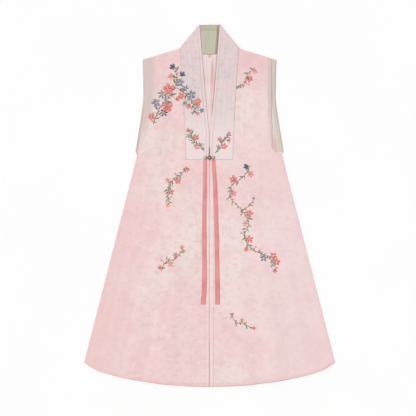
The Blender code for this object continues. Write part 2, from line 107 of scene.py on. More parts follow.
class Paint:
    """One material on a Principled shader, built node by node. Constants go on the shader's own sockets."""

    def __init__(self, name, constants):
        self.material = bpy.data.materials.new(name)
        self.material.use_nodes = True
        self.tree = self.material.node_tree
        self.shader = self.tree.nodes["Principled BSDF"]
        for socket, value in constants.items():
            self.shader.inputs[socket].default_value = value

    def node(self, kind, settings, inputs, output=0):
        plain = {name: value.socket if isinstance(value, Wire) else value for name, value in inputs.items()}
        return Wire(self, add_node(self.tree, kind, settings, plain).outputs[output])

    def math(self, operation, *values):
        return self.node("ShaderNodeMath", {"operation": operation}, dict(enumerate(values)))

    def mix(self, first, second, share):
        """Blends two colours: share 0 gives the first."""
        return self.node("ShaderNodeMix", {"data_type": "RGBA"}, {0: share, 6: first, 7: second}, 2)

    def ground(self, first, second, share):
        """Starts the colour as a blend of two tones."""
        self.colour = self.mix(tone(*first), tone(*second), share)

    def over(self, red, green, blue, share):
        """Blends one more tone into the colour."""
        self.colour = self.mix(self.colour, tone(red, green, blue), share)

    def smooth(self, value, zero_at, one_at):
        """Rises smoothly from 0 to 1 between two values of the input."""
        span = {"Value": value, "From Min": zero_at, "From Max": one_at}
        return self.node("ShaderNodeMapRange", {"interpolation_type": "SMOOTHSTEP"}, span)

    def line(self, value, middle, half):
        """1 on a line where the value is near middle, 0 from half away."""
        return self.smooth(self.math("ABSOLUTE", value - middle), half, half * 0.35)

    def fact(self, name, output="Fac"):
        """A number or colour that the mesh carries at its points."""
        return self.node("ShaderNodeAttribute", {"attribute_name": name}, {}, output)

    def place(self, stretch=(1, 1, 1), shift=(0, 0, 0)):
        """The point's place in metres, stretched and shifted."""
        here = self.node("ShaderNodeTexCoord", {}, {}, "Object")
        return self.node("ShaderNodeMapping", {}, {"Vector": here, "Scale": stretch, "Location": shift})

    def east_north(self, shift=(0, 0, 0)):
        """Metres towards the wearer's left and towards the collar."""
        place = self.place(shift=shift)
        return (self.node("ShaderNodeSeparateXYZ", {}, {"Vector": place}, output) for output in (0, 1))

    def noise(self, vector, scale, detail=2.0, roughness=0.5, distortion=0.0):
        inputs = {"Vector": vector, "Scale": scale, "Detail": detail, "Roughness": roughness}
        return self.node("ShaderNodeTexNoise", {}, {**inputs, "Distortion": distortion})

    def patches(self, scale, detail, roughness, zero_at, one_at, shift=(0, 0, 0)):
        """Soft patches of noise: 0 between them and 1 on them."""
        return self.smooth(self.noise(self.place(shift=shift), scale, detail, roughness), zero_at, one_at)

    def strip_noise(self, across, along, detail):
        """Noise on a strip of cloth, by its stretched run across and along."""
        return self.noise(self.node("ShaderNodeCombineXYZ", {}, {"X": across, "Y": along}), 1.0, detail)

    def wave(self, pitch, direction):
        """Ripples of a pitch in metres, across one direction."""
        settings = {"wave_type": "BANDS", "bands_direction": direction}
        inputs = {"Vector": self.place(), "Scale": 0.314 / pitch}
        return self.node("ShaderNodeTexWave", settings, inputs, "Fac")

    def ply(self):
        """Light and dark of twisted thread, by the number of turns that the mesh carries."""
        return self.math("SINE", self.fact("thread") * 6.28) * 0.5 + 0.5

    def feed(self, socket, wire):
        self.tree.links.new(wire.socket, self.shader.inputs[socket])

    def finish(self, roughness, height, distance):
        """Feeds the colour, the roughness and a bump of height times distance, and gives the material."""
        self.feed("Base Color", self.colour)
        if isinstance(roughness, Wire):
            self.feed("Roughness", roughness)
        else:
            self.shader.inputs["Roughness"].default_value = roughness
        self.feed("Normal", self.node("ShaderNodeBump", {}, {"Height": height, "Distance": distance}))
        return self.material


def add_piece(name, mesh, *materials):
    """An object at the origin, with its place in its mesh."""
    for material in materials:
        mesh.materials.append(material)
    piece = bpy.data.objects.new(name, mesh)
    bpy.context.scene.collection.objects.link(piece)
    return piece


def paper_floor():
    paint = Paint("floor paper", {"Roughness": 0.9})
    grain = paint.noise(paint.place(), 3.0)
    paint.feed("Base Color", paint.mix(tone(249, 248, 248), tone(251, 251, 251), grain))
    return paint.material


floor_mesh = bpy.data.meshes.new("floor")
floor_mesh.from_pydata([(x, y, -FLOOR_DROP) for x, y in FLOOR_CORNERS], [], [(0, 1, 2, 3)])
floor = add_piece("floor", floor_mesh, paper_floor())

sky = bpy.data.worlds.new("sky")
sky.use_nodes = True
sky_light = sky.node_tree.nodes["Background"].inputs
sky_light["Color"].default_value = (1.0, 1.0, 1.0, 1.0)
sky_light["Strength"].default_value = SKY_STRENGTH
bpy.context.scene.world = sky
bpy.context.scene.view_settings.view_transform = "Standard"

lamp = bpy.data.lights.new("soft lamp", "SUN")
lamp.angle = math.radians(LAMP_SPREAD)
lamp.energy = LAMP_STRENGTH
lamp_holder = bpy.data.objects.new("soft lamp", lamp)
lamp_holder.location = LAMP_PLACE
lamp_holder.rotation_mode = "QUATERNION"
lamp_holder.rotation_quaternion = (-Vector(LAMP_PLACE)).to_track_quat("-Z", "Y")
bpy.context.scene.collection.objects.link(lamp_holder)

view = bpy.data.cameras.new("camera")
view.lens = LENS
view.sensor_width = SENSOR
camera = bpy.data.objects.new("camera", view)
camera.location = (*PICTURE_MIDDLE, PICTURE_WIDTH * LENS / SENSOR)
bpy.context.scene.collection.objects.link(camera)
bpy.context.scene.camera = camera


# Back panel: one width of pink silk with a thin pink lining, both in one wall, from the hem to the shoulders.
# It lies on its outer side. Its lining shows in the V between the fronts, with one soft fold pressed into it
# and painted shade along that fold.
SEAM = 0.0003
WALL = 0.0012
SIDES = (("right", -1, 1), ("left", 1, 2))  # the wearer's side, its sign of x and its column in the tables
EDGE_ROUND = 0.00035
UNDERARM_Y = 0.1706
SIDE_TOP_Y = 0.1583
ARMHOLE_BEND_Y = 0.3355
NECKLINE_Y = 0.4765
NECK_POINT = (0.0962, 0.4954)
SHOULDER_TIP = (0.2110, 0.4599)
SIDE_TOP_HALF = 0.2278
UNDERARM_HALF = 0.2333
ARMHOLE_HALF = 0.2086
HEM_RISE = 0.0788  # from the middle of the hem to its corners
HEM_ARC_SHARE = 0.76  # this much of the rise is a plain arc, the rest turns up near the side seams
HEM_CORNER_POWER = 14
ARMHOLE_POWER = 1.1
SHOULDER_POWER = 2
FOLD_END_SHARE = 0.35  # the share of its length in which a fold dies away
back_low, back_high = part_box("back")
HEM_Y = back_low.y
HEM_HALF = back_high.x
HEM_CORNER_Y = HEM_Y + HEM_RISE
BACK_FOLD = (
    # in mm: x and y of the foot and of the head, half widths there, heights there; then if the foot is open
    (5, 285, 9.8, 492, 3.4, 8.6, 0.6, 1.9, True),
    (-7, 330, -10.5, 500, 3, 6, 0.3, 0.6, True),
)
BACK_RISE = (
    # the same columns: where the back lies up against the right band
    (-8.5, 318, -33.5, 573, 4, 7, 0, 3.5, True),
)


def ease(share):
    """Smooth step from 0 to 1."""
    share = np.clip(share, 0.0, 1.0)
    return share * share * (3 - 2 * share)


def mix(low, high, share):
    return low + (high - low) * share


def bell(distance):
    """1 in the middle, falling smoothly to 0 at a distance of 1."""
    return np.cos(np.clip(np.abs(distance), 0.0, 1.0) * math.pi / 2) ** 2


def columns(start, stop, count):
    """Even steps from column to column of a grid."""
    return np.linspace(start, stop, count)[:, None]


def levels(start, stop, count):
    """Even steps from row to row of a grid."""
    return np.linspace(start, stop, count)[None, :]


def joined(*grids):
    """Grids of points side by side along their rows."""
    return np.concatenate(grids, axis=1)


def from_table(rows, places, column):
    """Reads a column of a table by its first column, with a smooth step between rows."""
    table = np.array(rows)
    places = np.clip(places, table[0, 0], table[-1, 0])
    step = np.clip(np.searchsorted(table[:, 0], places, side="right") - 1, 0, len(table) - 2)
    share = ease((places - table[step, 0]) / (table[step + 1, 0] - table[step, 0]))
    return mix(table[step, column], table[step + 1, column], share)


def hem_y(x):
    """Hem line: a shallow arc that turns up more sharply near the side seams."""
    share = np.abs(x) / HEM_HALF
    return HEM_Y + HEM_RISE * mix(share**HEM_CORNER_POWER, share**2, HEM_ARC_SHARE)


def side_x(y):
    return mix(SIDE_TOP_HALF, HEM_HALF, (SIDE_TOP_Y - y) / (SIDE_TOP_Y - HEM_CORNER_Y))


def armhole_x(y):
    """Half width of the back at its side seam, underarm step and armhole edge."""
    step = mix(SIDE_TOP_HALF, UNDERARM_HALF, (y - SIDE_TOP_Y) / (UNDERARM_Y - SIDE_TOP_Y))
    down = np.clip((ARMHOLE_BEND_Y - y) / (ARMHOLE_BEND_Y - UNDERARM_Y), 0.0, 1.0)
    up = np.maximum((y - ARMHOLE_BEND_Y) / (SHOULDER_TIP[1] - ARMHOLE_BEND_Y), 0.0)
    lower = mix(ARMHOLE_HALF, UNDERARM_HALF, down**ARMHOLE_POWER)
    upper = mix(ARMHOLE_HALF, SHOULDER_TIP[0], up**SHOULDER_POWER)
    curve = np.where(y < ARMHOLE_BEND_Y, lower, upper)
    return np.where(y < SIDE_TOP_Y, side_x(y), np.where(y < UNDERARM_Y, step, curve))


def neckline_y(x):
    return mix(NECKLINE_Y, NECK_POINT[1], (np.abs(x) / NECK_POINT[0]) ** 2)


def shoulder_y(x):
    share = (np.abs(x) - NECK_POINT[0]) / (SHOULDER_TIP[0] - NECK_POINT[0])
    return mix(NECK_POINT[1], SHOULDER_TIP[1], share)


def fold_height(folds, x, y):
    """Height that soft folds add. Each runs from a foot to a head; a closed foot dies away before its end."""
    height = np.zeros_like(x)
    for *row, open_foot in folds:
        foot_x, foot_y, head_x, head_y, foot_half, head_half, foot_high, head_high = np.array(row) / 1000
        run_x, run_y = head_x - foot_x, head_y - foot_y
        share = ((x - foot_x) * run_x + (y - foot_y) * run_y) / (run_x**2 + run_y**2)
        away = np.hypot(x - foot_x - run_x * share, y - foot_y - run_y * share)
        along = np.clip(share, 0.0, 1.0)
        profile = bell(away / mix(foot_half, head_half, along))
        ends = ease((1 - share) / FOLD_END_SHARE)
        if not open_foot:
            ends = ends * ease(share / FOLD_END_SHARE)
        height += mix(foot_high, head_high, along) * ends * profile
    return height


def cloth(name, x, y, z, facts, thickness, face, lining, present=None, flip=False):
    """A wall of cloth on a grid of points, arrays of columns by rows, with numbers for its material."""
    if present is None:
        present = np.ones((x.shape[0] - 1, x.shape[1] - 1), bool)
    c, r = np.nonzero(present)
    used = np.zeros(x.shape, bool)
    for c_step, r_step in ((0, 0), (1, 0), (1, 1), (0, 1)):
        used[c + c_step, r + r_step] = True
    index = np.full(x.shape, -1)
    index[used] = np.arange(used.sum())
    faces = np.stack([index[c, r], index[c + 1, r], index[c + 1, r + 1], index[c, r + 1]], axis=1)
    if flip:
        faces = faces[:, ::-1]
    mesh = bpy.data.meshes.new(name)
    mesh.from_pydata(np.stack([x[used], y[used], z[used]], axis=1).tolist(), [], faces.tolist())
    for fact, values in facts.items():
        carried = mesh.attributes.new(fact, "FLOAT", "POINT")
        carried.data.foreach_set("value", np.broadcast_to(values, x.shape)[used].astype(np.float32))
    mesh.shade_smooth()
    piece = add_piece(name, mesh, face, lining)
    wall = piece.modifiers.new("wall", "SOLIDIFY")
    wall.thickness = thickness
    wall.offset = -1
    wall.material_offset = 1
    soft = piece.modifiers.new("soft edge", "BEVEL")
    soft.width = min(EDGE_ROUND, thickness * 0.4)
    soft.segments = 2
    soft.limit_method = "ANGLE"
    soft.angle_limit = math.radians(50)
    return piece


def dressed(piece, node=None):
    """The piece rides on the robe and may stand for a node."""
    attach(piece, "root")
    if node:
        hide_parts(node)


def silk_weave(paint):
    """Height of a fine plain weave with a few thicker threads each way."""
    slub = paint.noise(paint.place((30, 1600, 1)), 1.0) + paint.noise(paint.place((1600, 30, 1)), 1.0)
    return (paint.wave(0.0008, "X") + paint.wave(0.0008, "Y")) * 0.25 + slub * 0.5


def mottled(paint):
    """Washed colour of the silk, tone on tone: broad pale clouds, mossy stains and small dusky leaves."""
    pale = (237, 219, 215)
    blush = (229, 193, 193)
    paint.ground((236, 206, 204), pale, paint.patches(3.4, 1.5, 0.45, 0.40, 0.64) * 0.9)
    paint.over(229, 215, 207, paint.patches(7.0, 1.5, 0.5, 0.50, 0.68, (5, 2, 0)) * 0.5)
    paint.over(*blush, paint.patches(17.0, 1.5, 0.5, 0.46, 0.66, (3, 5, 0)) * 0.42)
    leaves = paint.noise(paint.place((1.0, 1.3, 1.0), (7, 1, 0)), 58.0, 1.5, 0.45, 0.3)
    paint.over(*blush, paint.smooth(leaves, 0.48, 0.72) * 0.56)
    paint.over(*pale, paint.patches(48.0, 1.0, 0.4, 0.54, 0.72, (2, 9, 0)) * 0.5)


HEM_STITCHES = 0.0075  # from the edge of the hem
CENTRE_STITCHES = 0.0122  # from the middle of the robe
CLOTH = {"Sheen Weight": 0.12, "Sheen Roughness": 0.4, "Specular IOR Level": 0.25}


def lining_silk():
    """Plain pink lining, a little paler and flatter than the outer silk, with painted shade along its pressed
    fold.
    """
    paint = Paint("pink lining", CLOTH)
    paint.ground((233, 214, 211), (229, 205, 203), paint.patches(12.0, 3.0, 0.5, 0.40, 0.66))
    # painted shade: darker pink where the pressed fold rises, standing in for the shade along it
    paint.over(218, 168, 172, paint.smooth(paint.fact("fold"), 0.0001, 0.0012) * 0.95)
    return paint.finish(0.6, silk_weave(paint), 0.00008)


WOVEN_FLOWERS = (
    # x, y and reach of the petals in metres, number of petals
    (0.152, 0.352, 0.0165, 5), (0.124, 0.318, 0.0135, 6), (-0.060, 0.058, 0.0150, 5),
    (0.046, -0.070, 0.0140, 6), (0.070, -0.098, 0.0115, 5), (-0.058, -0.062, 0.0125, 5),
)


def woven_flower(paint, x, y, reach, petals):
    """A flower of the silk's own weave, with soft rims: 1 on it and 0 beside it."""
    east, north = paint.east_north((-x, -y, 0))
    away = paint.math("SQRT", east * east + north * north)
    turn = paint.math("ARCTAN2", north, east)
    rim = (paint.math("COSINE", turn * petals) * 0.26 + 0.74) * reach
    return paint.smooth(away - rim, 0.0015, -0.0045)


def outer_silk():
    """Pink silk of the panels, with the sewn-in hems and armhole facings that show through as soft bands,
    painted shade along the fronts' armhole edges and a painted shadow in the gap between the fronts.
    """
    paint = Paint("pink silk", CLOTH)
    mottled(paint)
    east, north = paint.east_north()
    side, hem, centre = (paint.fact(name) for name in ("side", "hem", "centre"))
    paint.over(237, 213, 217, paint.smooth(east, 0.02, 0.30) * 0.45)
    raised = paint.smooth(north, 0.33, 0.47) * (paint.smooth(east, 0.0, 0.10) * 0.24 + 0.32)
    paint.over(229, 186, 186, raised)
    west = 1.0 - paint.smooth(east, -0.10, 0.20) * 0.7
    paint.over(232, 194, 194, paint.smooth(side, 0.130, 0.0) * west * 0.40)
    low_flank = paint.smooth(side, 0.24, 0.03) * west * paint.smooth(north, -0.10, -0.42)
    paint.over(231, 195, 193, low_flank * 0.50)
    for flower in WOVEN_FLOWERS:
        paint.over(213, 196, 203, woven_flower(paint, *flower) * paint.smooth(centre, 0.9, 0.6) * 0.50)
    drift = paint.noise(paint.place((26, 12, 1)), 1.0, 1.5) - 0.5
    showing = paint.smooth(paint.fact("show") + drift * 0.5, 0.0, 1.0) * paint.fact("shown")
    paint.over(213, 191, 186, showing * 0.92)
    # painted shade: a dark rim along the front's armhole edge, standing in for the shadow at that edge
    paint.over(192, 170, 160, paint.smooth(paint.fact("armhole"), 0.0046, 0.0018) * paint.fact("rim"))
    paint.over(238, 192, 191, paint.smooth(hem, 0.0052, 0.0030) * 0.55)
    paint.over(216, 172, 170, paint.line(hem, HEM_STITCHES, 0.0016) * 0.22)
    paint.over(242, 217, 217, paint.smooth(centre, 0.0150, 0.0090) * 0.30)
    fallen = (paint.smooth(hem, 0.56, 0.10) * 0.20 + 0.08) * (paint.smooth(east, -0.004, 0.004) * 0.6 + 0.4)
    paint.over(202, 150, 156, paint.line(centre, CENTRE_STITCHES, 0.0022) * fallen)
    # painted shadow in the gap between the fronts: darker brown-pink along each centre edge, strongest near
    # the hem and again up near the ties
    parted_edge_shade = paint.smooth(hem, 0.17, 0.11) * 0.50 + paint.smooth(hem, 0.56, 0.64) * 0.30 + 0.10
    paint.over(176, 122, 120, paint.smooth(centre, 0.0020, 0.0004) * parted_edge_shade)
    paint.over(240, 190, 192, paint.smooth(side, 0.0075, 0.0030) * west * 0.40)
    paint.over(226, 188, 186, paint.line(side, 0.0085, 0.0022) * 0.20)
    return paint.finish(0.55, silk_weave(paint), 0.0001)


pink_silk = outer_silk()
pink_lining = lining_silk()

neck_share = NECK_POINT[0] / SHOULDER_TIP[0]
half_shares = np.concatenate([np.linspace(0, neck_share, 21), np.linspace(neck_share, 1, 24)[1:]])
shares = np.concatenate([-half_shares[:0:-1], half_shares])[:, None]
skirt_levels = levels(0, 1, 91)
skirt_x = shares * mix(HEM_HALF, SIDE_TOP_HALF, skirt_levels)
skirt_y = mix(hem_y(shares * HEM_HALF), SIDE_TOP_Y, skirt_levels)
edge_levels = levels(UNDERARM_Y, SHOULDER_TIP[1], 44)
rise = (edge_levels - SIDE_TOP_Y) / (SHOULDER_TIP[1] - SIDE_TOP_Y)
top_x = shares * SHOULDER_TIP[0]
top_y = np.where(np.abs(top_x) < NECK_POINT[0], neckline_y(top_x), shoulder_y(top_x))
back_x = joined(skirt_x, shares * armhole_x(edge_levels))
back_y = joined(skirt_y, mix(SIDE_TOP_Y, top_y, rise))
back_fold = fold_height(BACK_FOLD, back_x, back_y)
back_facts = {"hem": back_y - hem_y(back_x), "side": 1.0, "centre": 1.0, "armhole": 1.0, "fold": back_fold}
back_z = WALL + back_fold + fold_height(BACK_RISE, back_x, back_y)
back = cloth("back_silk", back_x, back_y, back_z, back_facts, WALL, pink_lining, pink_silk)
dressed(back, "back")


# Armhole facings: bias strips of sage lining inside the back's armholes, edge-stitched in two rows at the
# left and one at the right.
# They show past the fronts' armhole edges, broadly at the wearer's left and as a thin line at the right.
FACING_WALL = 0.0010
FACING_LOW = WALL + SEAM
FACING_WIDTH = 0.0380
FACING_INSET = 0.0010
FACING_STITCHES = (0.0035, 0.0085)
NARROW_FACING_STITCHES = (0.0022,)
FACING_HEAD_POWER = 8
FACING_BLUSH_Y = 0.200  # the facing is pinker below this
FACING_BLUSH_RUN = 0.070


def sage_lining(name, light, dark):
    """Plain sage lining with faint streaks along Y and the fold lines that its mesh carries."""
    paint = Paint(name, CLOTH)
    streaks = paint.noise(paint.place((260, 5, 1)), 1.0, 3.0, 0.6)
    paint.ground(light, dark, paint.smooth(streaks, 0.40, 0.66) * 0.7)
    line, low = paint.fact("line"), paint.fact("low")
    paint.over(219, 200, 192, low * 0.85)
    paint.over(212, 182, 176, paint.smooth(low, 0.80, 1.0) * paint.smooth(line, 0.012, 0.024) * 0.7)
    grooves = paint.line(line, FACING_STITCHES[0], 0.0012) + paint.line(line, FACING_STITCHES[1], 0.0012)
    paint.over(158, 148, 128, grooves * (0.42 - low * 0.24))
    paint.over(176, 166, 144, paint.smooth(line, 0.0030, 0.0008) * 0.6)
    return paint.finish(0.55, silk_weave(paint) - grooves * 1.5, 0.0001)


facing_cloth = sage_lining("sage facing", (220, 214, 206), (206, 202, 194))
facing_levels = levels(UNDERARM_Y + FACING_INSET, SHOULDER_TIP[1] - 2 * FACING_INSET, 73)
facing_across = columns(0, 1, 13)
facing_rise = (NECK_POINT[1] - SHOULDER_TIP[1]) / (SHOULDER_TIP[0] - NECK_POINT[0]) * FACING_WIDTH
facings = {}
for side_name, sign, _ in SIDES:
    inset = FACING_WIDTH * (1 - facing_across)
    x = sign * (armhole_x(facing_levels) - FACING_INSET - inset)
    head = (facing_levels - UNDERARM_Y) / (SHOULDER_TIP[1] - UNDERARM_Y)
    y = facing_levels + facing_rise * (1 - facing_across) * head**FACING_HEAD_POWER
    z = np.full(x.shape, FACING_LOW + FACING_WALL)
    facts = {"line": inset, "low": 1 - ease((y - FACING_BLUSH_Y) / FACING_BLUSH_RUN)}
    facing_name = f"armhole_facing_{side_name}_cloth"
    facing = cloth(facing_name, x, y, z, facts, FACING_WALL, facing_cloth, facing_cloth, flip=sign < 0)
    dressed(facing, f"armhole_facing_{side_name}")
    facings[side_name] = facing


# Fronts: two panels of the same silk, cut away along the collar band, with hemmed centre edges and hems.
# They lie on the back and on the facings, in long soft folds that fall from the chest to the hem.
COLLAR_END_Y = 0.1451
COLLAR_END_HALF = 0.0737
CLOSED_HALF = 0.0005
FRONT_HEM_STEP = 0.0025
FRONT_LOW = WALL + SEAM
FRONT_OVER_FACING = FACING_LOW + FACING_WALL + SEAM - FRONT_LOW
BAND_LOW_AT_FOLD = 0.0036
BAND_RISE_Y = 0.372
BAND_RISE_RUN = 0.060
BAND_RISE_FADE = 0.050
FINENESS = 4  # cells of the cloth to one cell of the plain panel
COLLAR_SEAM_POWER = 1.3
LIFT_PAST_FACING = 0.016
LIFT_FADE = 0.036
LIFT_BELOW_COLLAR = 0.062
LIFT_RUN = 0.060
CREASE_CLEAR = 0.06  # the small creases begin this far from the middle
CREASE_FADE = 0.02
SHOW_FROM = 0.012  # below the top of the side seam
SHOW_RUN = 0.016
COLLAR_WALL = 0.0020
COLLAR_TOP_HALF = 0.0332
FOLD_CLEAR = 0.0018
FOLD_AXIS_Z = (BAND_LOW_AT_FOLD + COLLAR_WALL) / 2
TOP_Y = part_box("collar")[1].y
along_fold = Vector((COLLAR_TOP_HALF - NECK_POINT[0], TOP_Y - NECK_POINT[1])).normalized()
outward = Vector((along_fold.y, -along_fold.x))
seam_end = Vector((NECK_POINT[0] - SEAM, NECK_POINT[1])) - outward * FOLD_AXIS_Z + along_fold * FOLD_CLEAR
free_end = Vector((COLLAR_TOP_HALF, TOP_Y)) - outward * FOLD_AXIS_Z
free_end.y = TOP_Y - FOLD_AXIS_Z * outward.y
ARMHOLE_SET_IN = (
    # y, right, left
    (SIDE_TOP_Y, 0.0000, 0.0000),
    (UNDERARM_Y, 0.0034, 0.0270),
    (0.1860, 0.0044, 0.0325),
    (0.2200, 0.0044, 0.0278),
    (0.2600, 0.0036, 0.0220),
    (ARMHOLE_BEND_Y, 0.0020, 0.0117),
    (SHOULDER_TIP[1], 0.0012, 0.0136),
)
SHOW_THROUGH = {
    # y, width of the band where the facing shows through the front, width with its fade, strength, dark rim
    # (painted shade along the front's armhole edge)
    "right": (
        (0.1600, 0.004, 0.012, 0.20, 0.80),
        (0.2040, 0.006, 0.028, 0.50, 0.70),
        (0.2355, 0.011, 0.034, 0.75, 0.50),
        (0.2670, 0.013, 0.036, 0.92, 0.55),
        (0.3060, 0.018, 0.040, 1.00, 0.30),
        (0.3450, 0.022, 0.046, 1.00, 0.10),
    ),
    "left": (
        (0.1700, 0.000, 0.006, 0.20, 0.10),
        (0.1900, 0.000, 0.008, 0.45, 0.30),
        (0.2200, 0.002, 0.014, 0.60, 0.25),
        (0.2600, 0.004, 0.016, 0.75, 0.20),
        (0.3000, 0.009, 0.016, 1.00, 0.50),
        (0.3400, 0.009, 0.017, 1.00, 0.65),
    ),
}
FOLDS = {
    # the columns of BACK_FOLD
    "right": (
        (-150, -565, -92, 50, 60, 26, 3, 1, True),
        (-252, -545, -150, -60, 48, 22, 2.4, 0.8, True),
        (-325, -500, -214, -10, 32, 16, 1.6, 0.6, False),
        (-168, 170, -128, 420, 34, 26, 1.6, 1.2, False),
    ),
    "left": (
        (118, -565, 84, -30, 56, 26, 2.4, 0.8, True),
        (218, -550, 132, 70, 54, 24, 3.1, 0.9, True),
        (318, -510, 206, -70, 36, 18, 1.8, 0.6, False),
        (152, 150, 126, 380, 30, 24, 1.4, 1, False),
    ),
}
CREASES = {
    # the same columns, for the small creases between the folds
    "right": (
        (-62, -560, -55, -200, 12, 8, 0.7, 0.3, True),
        (-188, -552, -146, -240, 13, 8, 0.8, 0.3, True),
        (-292, -520, -220, -180, 12, 8, 0.7, 0.3, True),
        (-352, -470, -268, -120, 12, 7, 0.6, 0.3, False),
        (-118, -380, -106, 20, 9, 7, 0.5, 0.4, False),
        (-230, -160, -188, 150, 11, 8, 0.7, 0.4, False),
        (-112, 160, -108, 300, 8, 7, 0.4, 0.4, False),
        (-196, 210, -190, 400, 9, 7, 0.5, 0.4, False),
        (-142, 240, -150, 450, 9, 8, 0.5, 0.4, False),
    ),
    "left": (
        (70, -560, 62, -340, 11, 8, 0.6, 0.3, True),
        (166, -555, 120, -220, 12, 8, 0.7, 0.3, True),
        (268, -530, 188, -160, 13, 8, 0.8, 0.4, True),
        (350, -480, 252, -80, 12, 7, 0.6, 0.3, False),
        (100, -300, 92, 60, 10, 8, 0.5, 0.4, False),
        (212, -120, 176, 140, 11, 8, 0.7, 0.4, False),
        (104, 180, 110, 330, 8, 7, 0.4, 0.3, False),
        (182, 180, 168, 360, 10, 8, 0.5, 0.4, False),
        (128, 300, 146, 450, 9, 8, 0.5, 0.4, False),
    ),
}


def collar_seam_x(y):
    """Half width of the seam between a collar band and the front, up to the fold's lower end."""
    share = np.clip((y - COLLAR_END_Y) / (seam_end.y - COLLAR_END_Y), 0.0, 1.0)
    return mix(COLLAR_END_HALF, seam_end.x, share**COLLAR_SEAM_POWER)


def front_hem_y(x):
    """The front's hem lies a little above the back's in the middle and meets it at the sides."""
    return hem_y(x) + FRONT_HEM_STEP * (1 - (x / HEM_HALF) ** 2)


def front_armhole_x(y, side):
    """Half width of a front at its armhole, by the column of its side in ARMHOLE_SET_IN."""
    return armhole_x(y) - from_table(ARMHOLE_SET_IN, y, side)


def band_rise_at_seam(y):
    return ease((y - BAND_RISE_Y) / BAND_RISE_RUN)


def front_lift(x, y):
    """How far the front rises over the armhole facing and beside the collar band near the fold."""
    inside = armhole_x(np.maximum(y, UNDERARM_Y)) - np.abs(x)
    across = 1 - ease((inside - FACING_WIDTH - LIFT_PAST_FACING) / LIFT_FADE)
    along = ease((y - COLLAR_END_Y + LIFT_BELOW_COLLAR) / LIFT_RUN)
    beside = (BAND_LOW_AT_FOLD - FRONT_LOW) * band_rise_at_seam(y)
    beside = beside * (1 - ease((np.abs(x) - NECK_POINT[0]) / BAND_RISE_FADE))
    return np.maximum(FRONT_OVER_FACING * across * along, beside)


collar_columns = 5 * FINENESS
body_columns = 12 * FINENESS
seam_x = COLLAR_END_HALF + SEAM
first_columns = np.concatenate(
    [
        np.linspace(CLOSED_HALF, seam_x, collar_columns + 1),
        np.linspace(seam_x, side_x(COLLAR_END_Y), body_columns + 1)[1:],
    ]
)[:, None]
front_skirt_rows = levels(0, 1, 24 * FINENESS + 1)
front_skirt_x = first_columns * mix(HEM_HALF / side_x(COLLAR_END_Y), 1.0, front_skirt_rows)
hem_x = front_skirt_x[:, :1]
front_hem = front_hem_y(hem_x)
front_skirt_y = mix(front_hem, COLLAR_END_Y, front_skirt_rows)
front_skirt_y[: collar_columns + 1, -1] -= SEAM
chest_levels = np.concatenate(
    [
        np.linspace(COLLAR_END_Y, SIDE_TOP_Y, 4)[1:],
        np.linspace(SIDE_TOP_Y, UNDERARM_Y, 4)[1:],
        np.linspace(UNDERARM_Y, SHOULDER_TIP[1], 12 * FINENESS + 1)[1:],
    ]
)[None, :]
chest_rise = (chest_levels - COLLAR_END_Y) / (SHOULDER_TIP[1] - COLLAR_END_Y)
chest_seam_y = mix(COLLAR_END_Y, seam_end.y - SEAM, chest_rise)
chest_across = columns(0, 1, body_columns + 1)
chest_y = mix(chest_seam_y, chest_levels, chest_across)
front_cells = np.ones((collar_columns + body_columns, front_skirt_rows.size + chest_levels.size - 1), bool)
front_cells[:collar_columns, front_skirt_rows.size - 1 :] = False
fronts = {}
for side_name, sign, set_in in SIDES:
    chest_x = mix(collar_seam_x(chest_seam_y) + SEAM, front_armhole_x(chest_levels, set_in), chest_across)
    left_out = np.full((collar_columns, chest_levels.size), 0.05)
    x = joined(front_skirt_x, np.concatenate([left_out, chest_x]))
    y = joined(front_skirt_y, np.concatenate([left_out, chest_y]))
    folded = fold_height(FOLDS[side_name], sign * x, y)
    creased = fold_height(CREASES[side_name], sign * x, y) * (1 - ease((CREASE_CLEAR - x) / CREASE_FADE))
    z = FRONT_LOW + WALL + front_lift(x, y) + folded + creased
    inside = front_armhole_x(y, set_in) - x
    # the last column, rim, is the strength of the painted shade along the armhole edge
    full, faded, strength, rim = (from_table(SHOW_THROUGH[side_name], y, column) for column in (1, 2, 3, 4))
    above_side = ease((y - SIDE_TOP_Y + SHOW_FROM) / SHOW_RUN)
    facts = {
        "armhole": inside,
        "show": np.clip((faded - inside) / (faded - full), -1.0, 2.0),
        "shown": strength * above_side,
        "rim": rim * above_side,
        "side": np.where(y < UNDERARM_Y, side_x(y) - x, 1.0) + np.maximum(y - SIDE_TOP_Y, 0) * 3,
        "hem": y - front_hem_y(x),
        "centre": x - CLOSED_HALF + np.where(y > COLLAR_END_Y, 1.0, 0.0),
        "fold": 0.0,
    }
    front_name = f"front_{side_name}_silk"
    front = cloth(front_name, sign * x, y, z, facts, WALL, pink_silk, pink_lining, front_cells, flip=sign < 0)
    dressed(front, f"front_{side_name}")
    fronts[side_name] = front


# Collar band: one long strip of paler silk, interfaced and pressed flat, lined in sage behind the neck.
# It is overlaid on both fronts, folds over at the neck where the robe lies flat, and runs round the back.
COLLAR_MEET_Y = 0.2292
FREE_RISE_FROM = 0.42
FREE_RISE_RUN = 0.26
NECK_TOP_ARCH = 0.0006  # how far the top edge rises between the two folds
COLLAR_EDGE_POWER = 0.9
FREE_EDGE_STITCHES = 0.0094
BAND_WIDTH = 0.074
CREASE_LEAST = 0.35  # what is left of a pressed crease far from its strongest place
CREASE_SPREAD = 0.06
NECK_FACING_LOW = COLLAR_WALL + SEAM
NECK_FACING_TOP = NECK_FACING_LOW + FACING_WALL
PRESS_CREASES = (
    # share across from the seam, half width in metres, height in metres, strongest share of the length
    (0.22, 0.0035, 0.00030, 0.35),
    (0.47, 0.0050, 0.00035, 0.75),
    (0.68, 0.0040, 0.00030, 0.50),
    (0.86, 0.0028, 0.00025, 0.20),
)


def collar_edge_x(y):
    share = np.clip((y - COLLAR_MEET_Y) / (free_end.y - COLLAR_MEET_Y), 0.0, 1.0)
    return mix(CLOSED_HALF, free_end.x, share**COLLAR_EDGE_POWER)


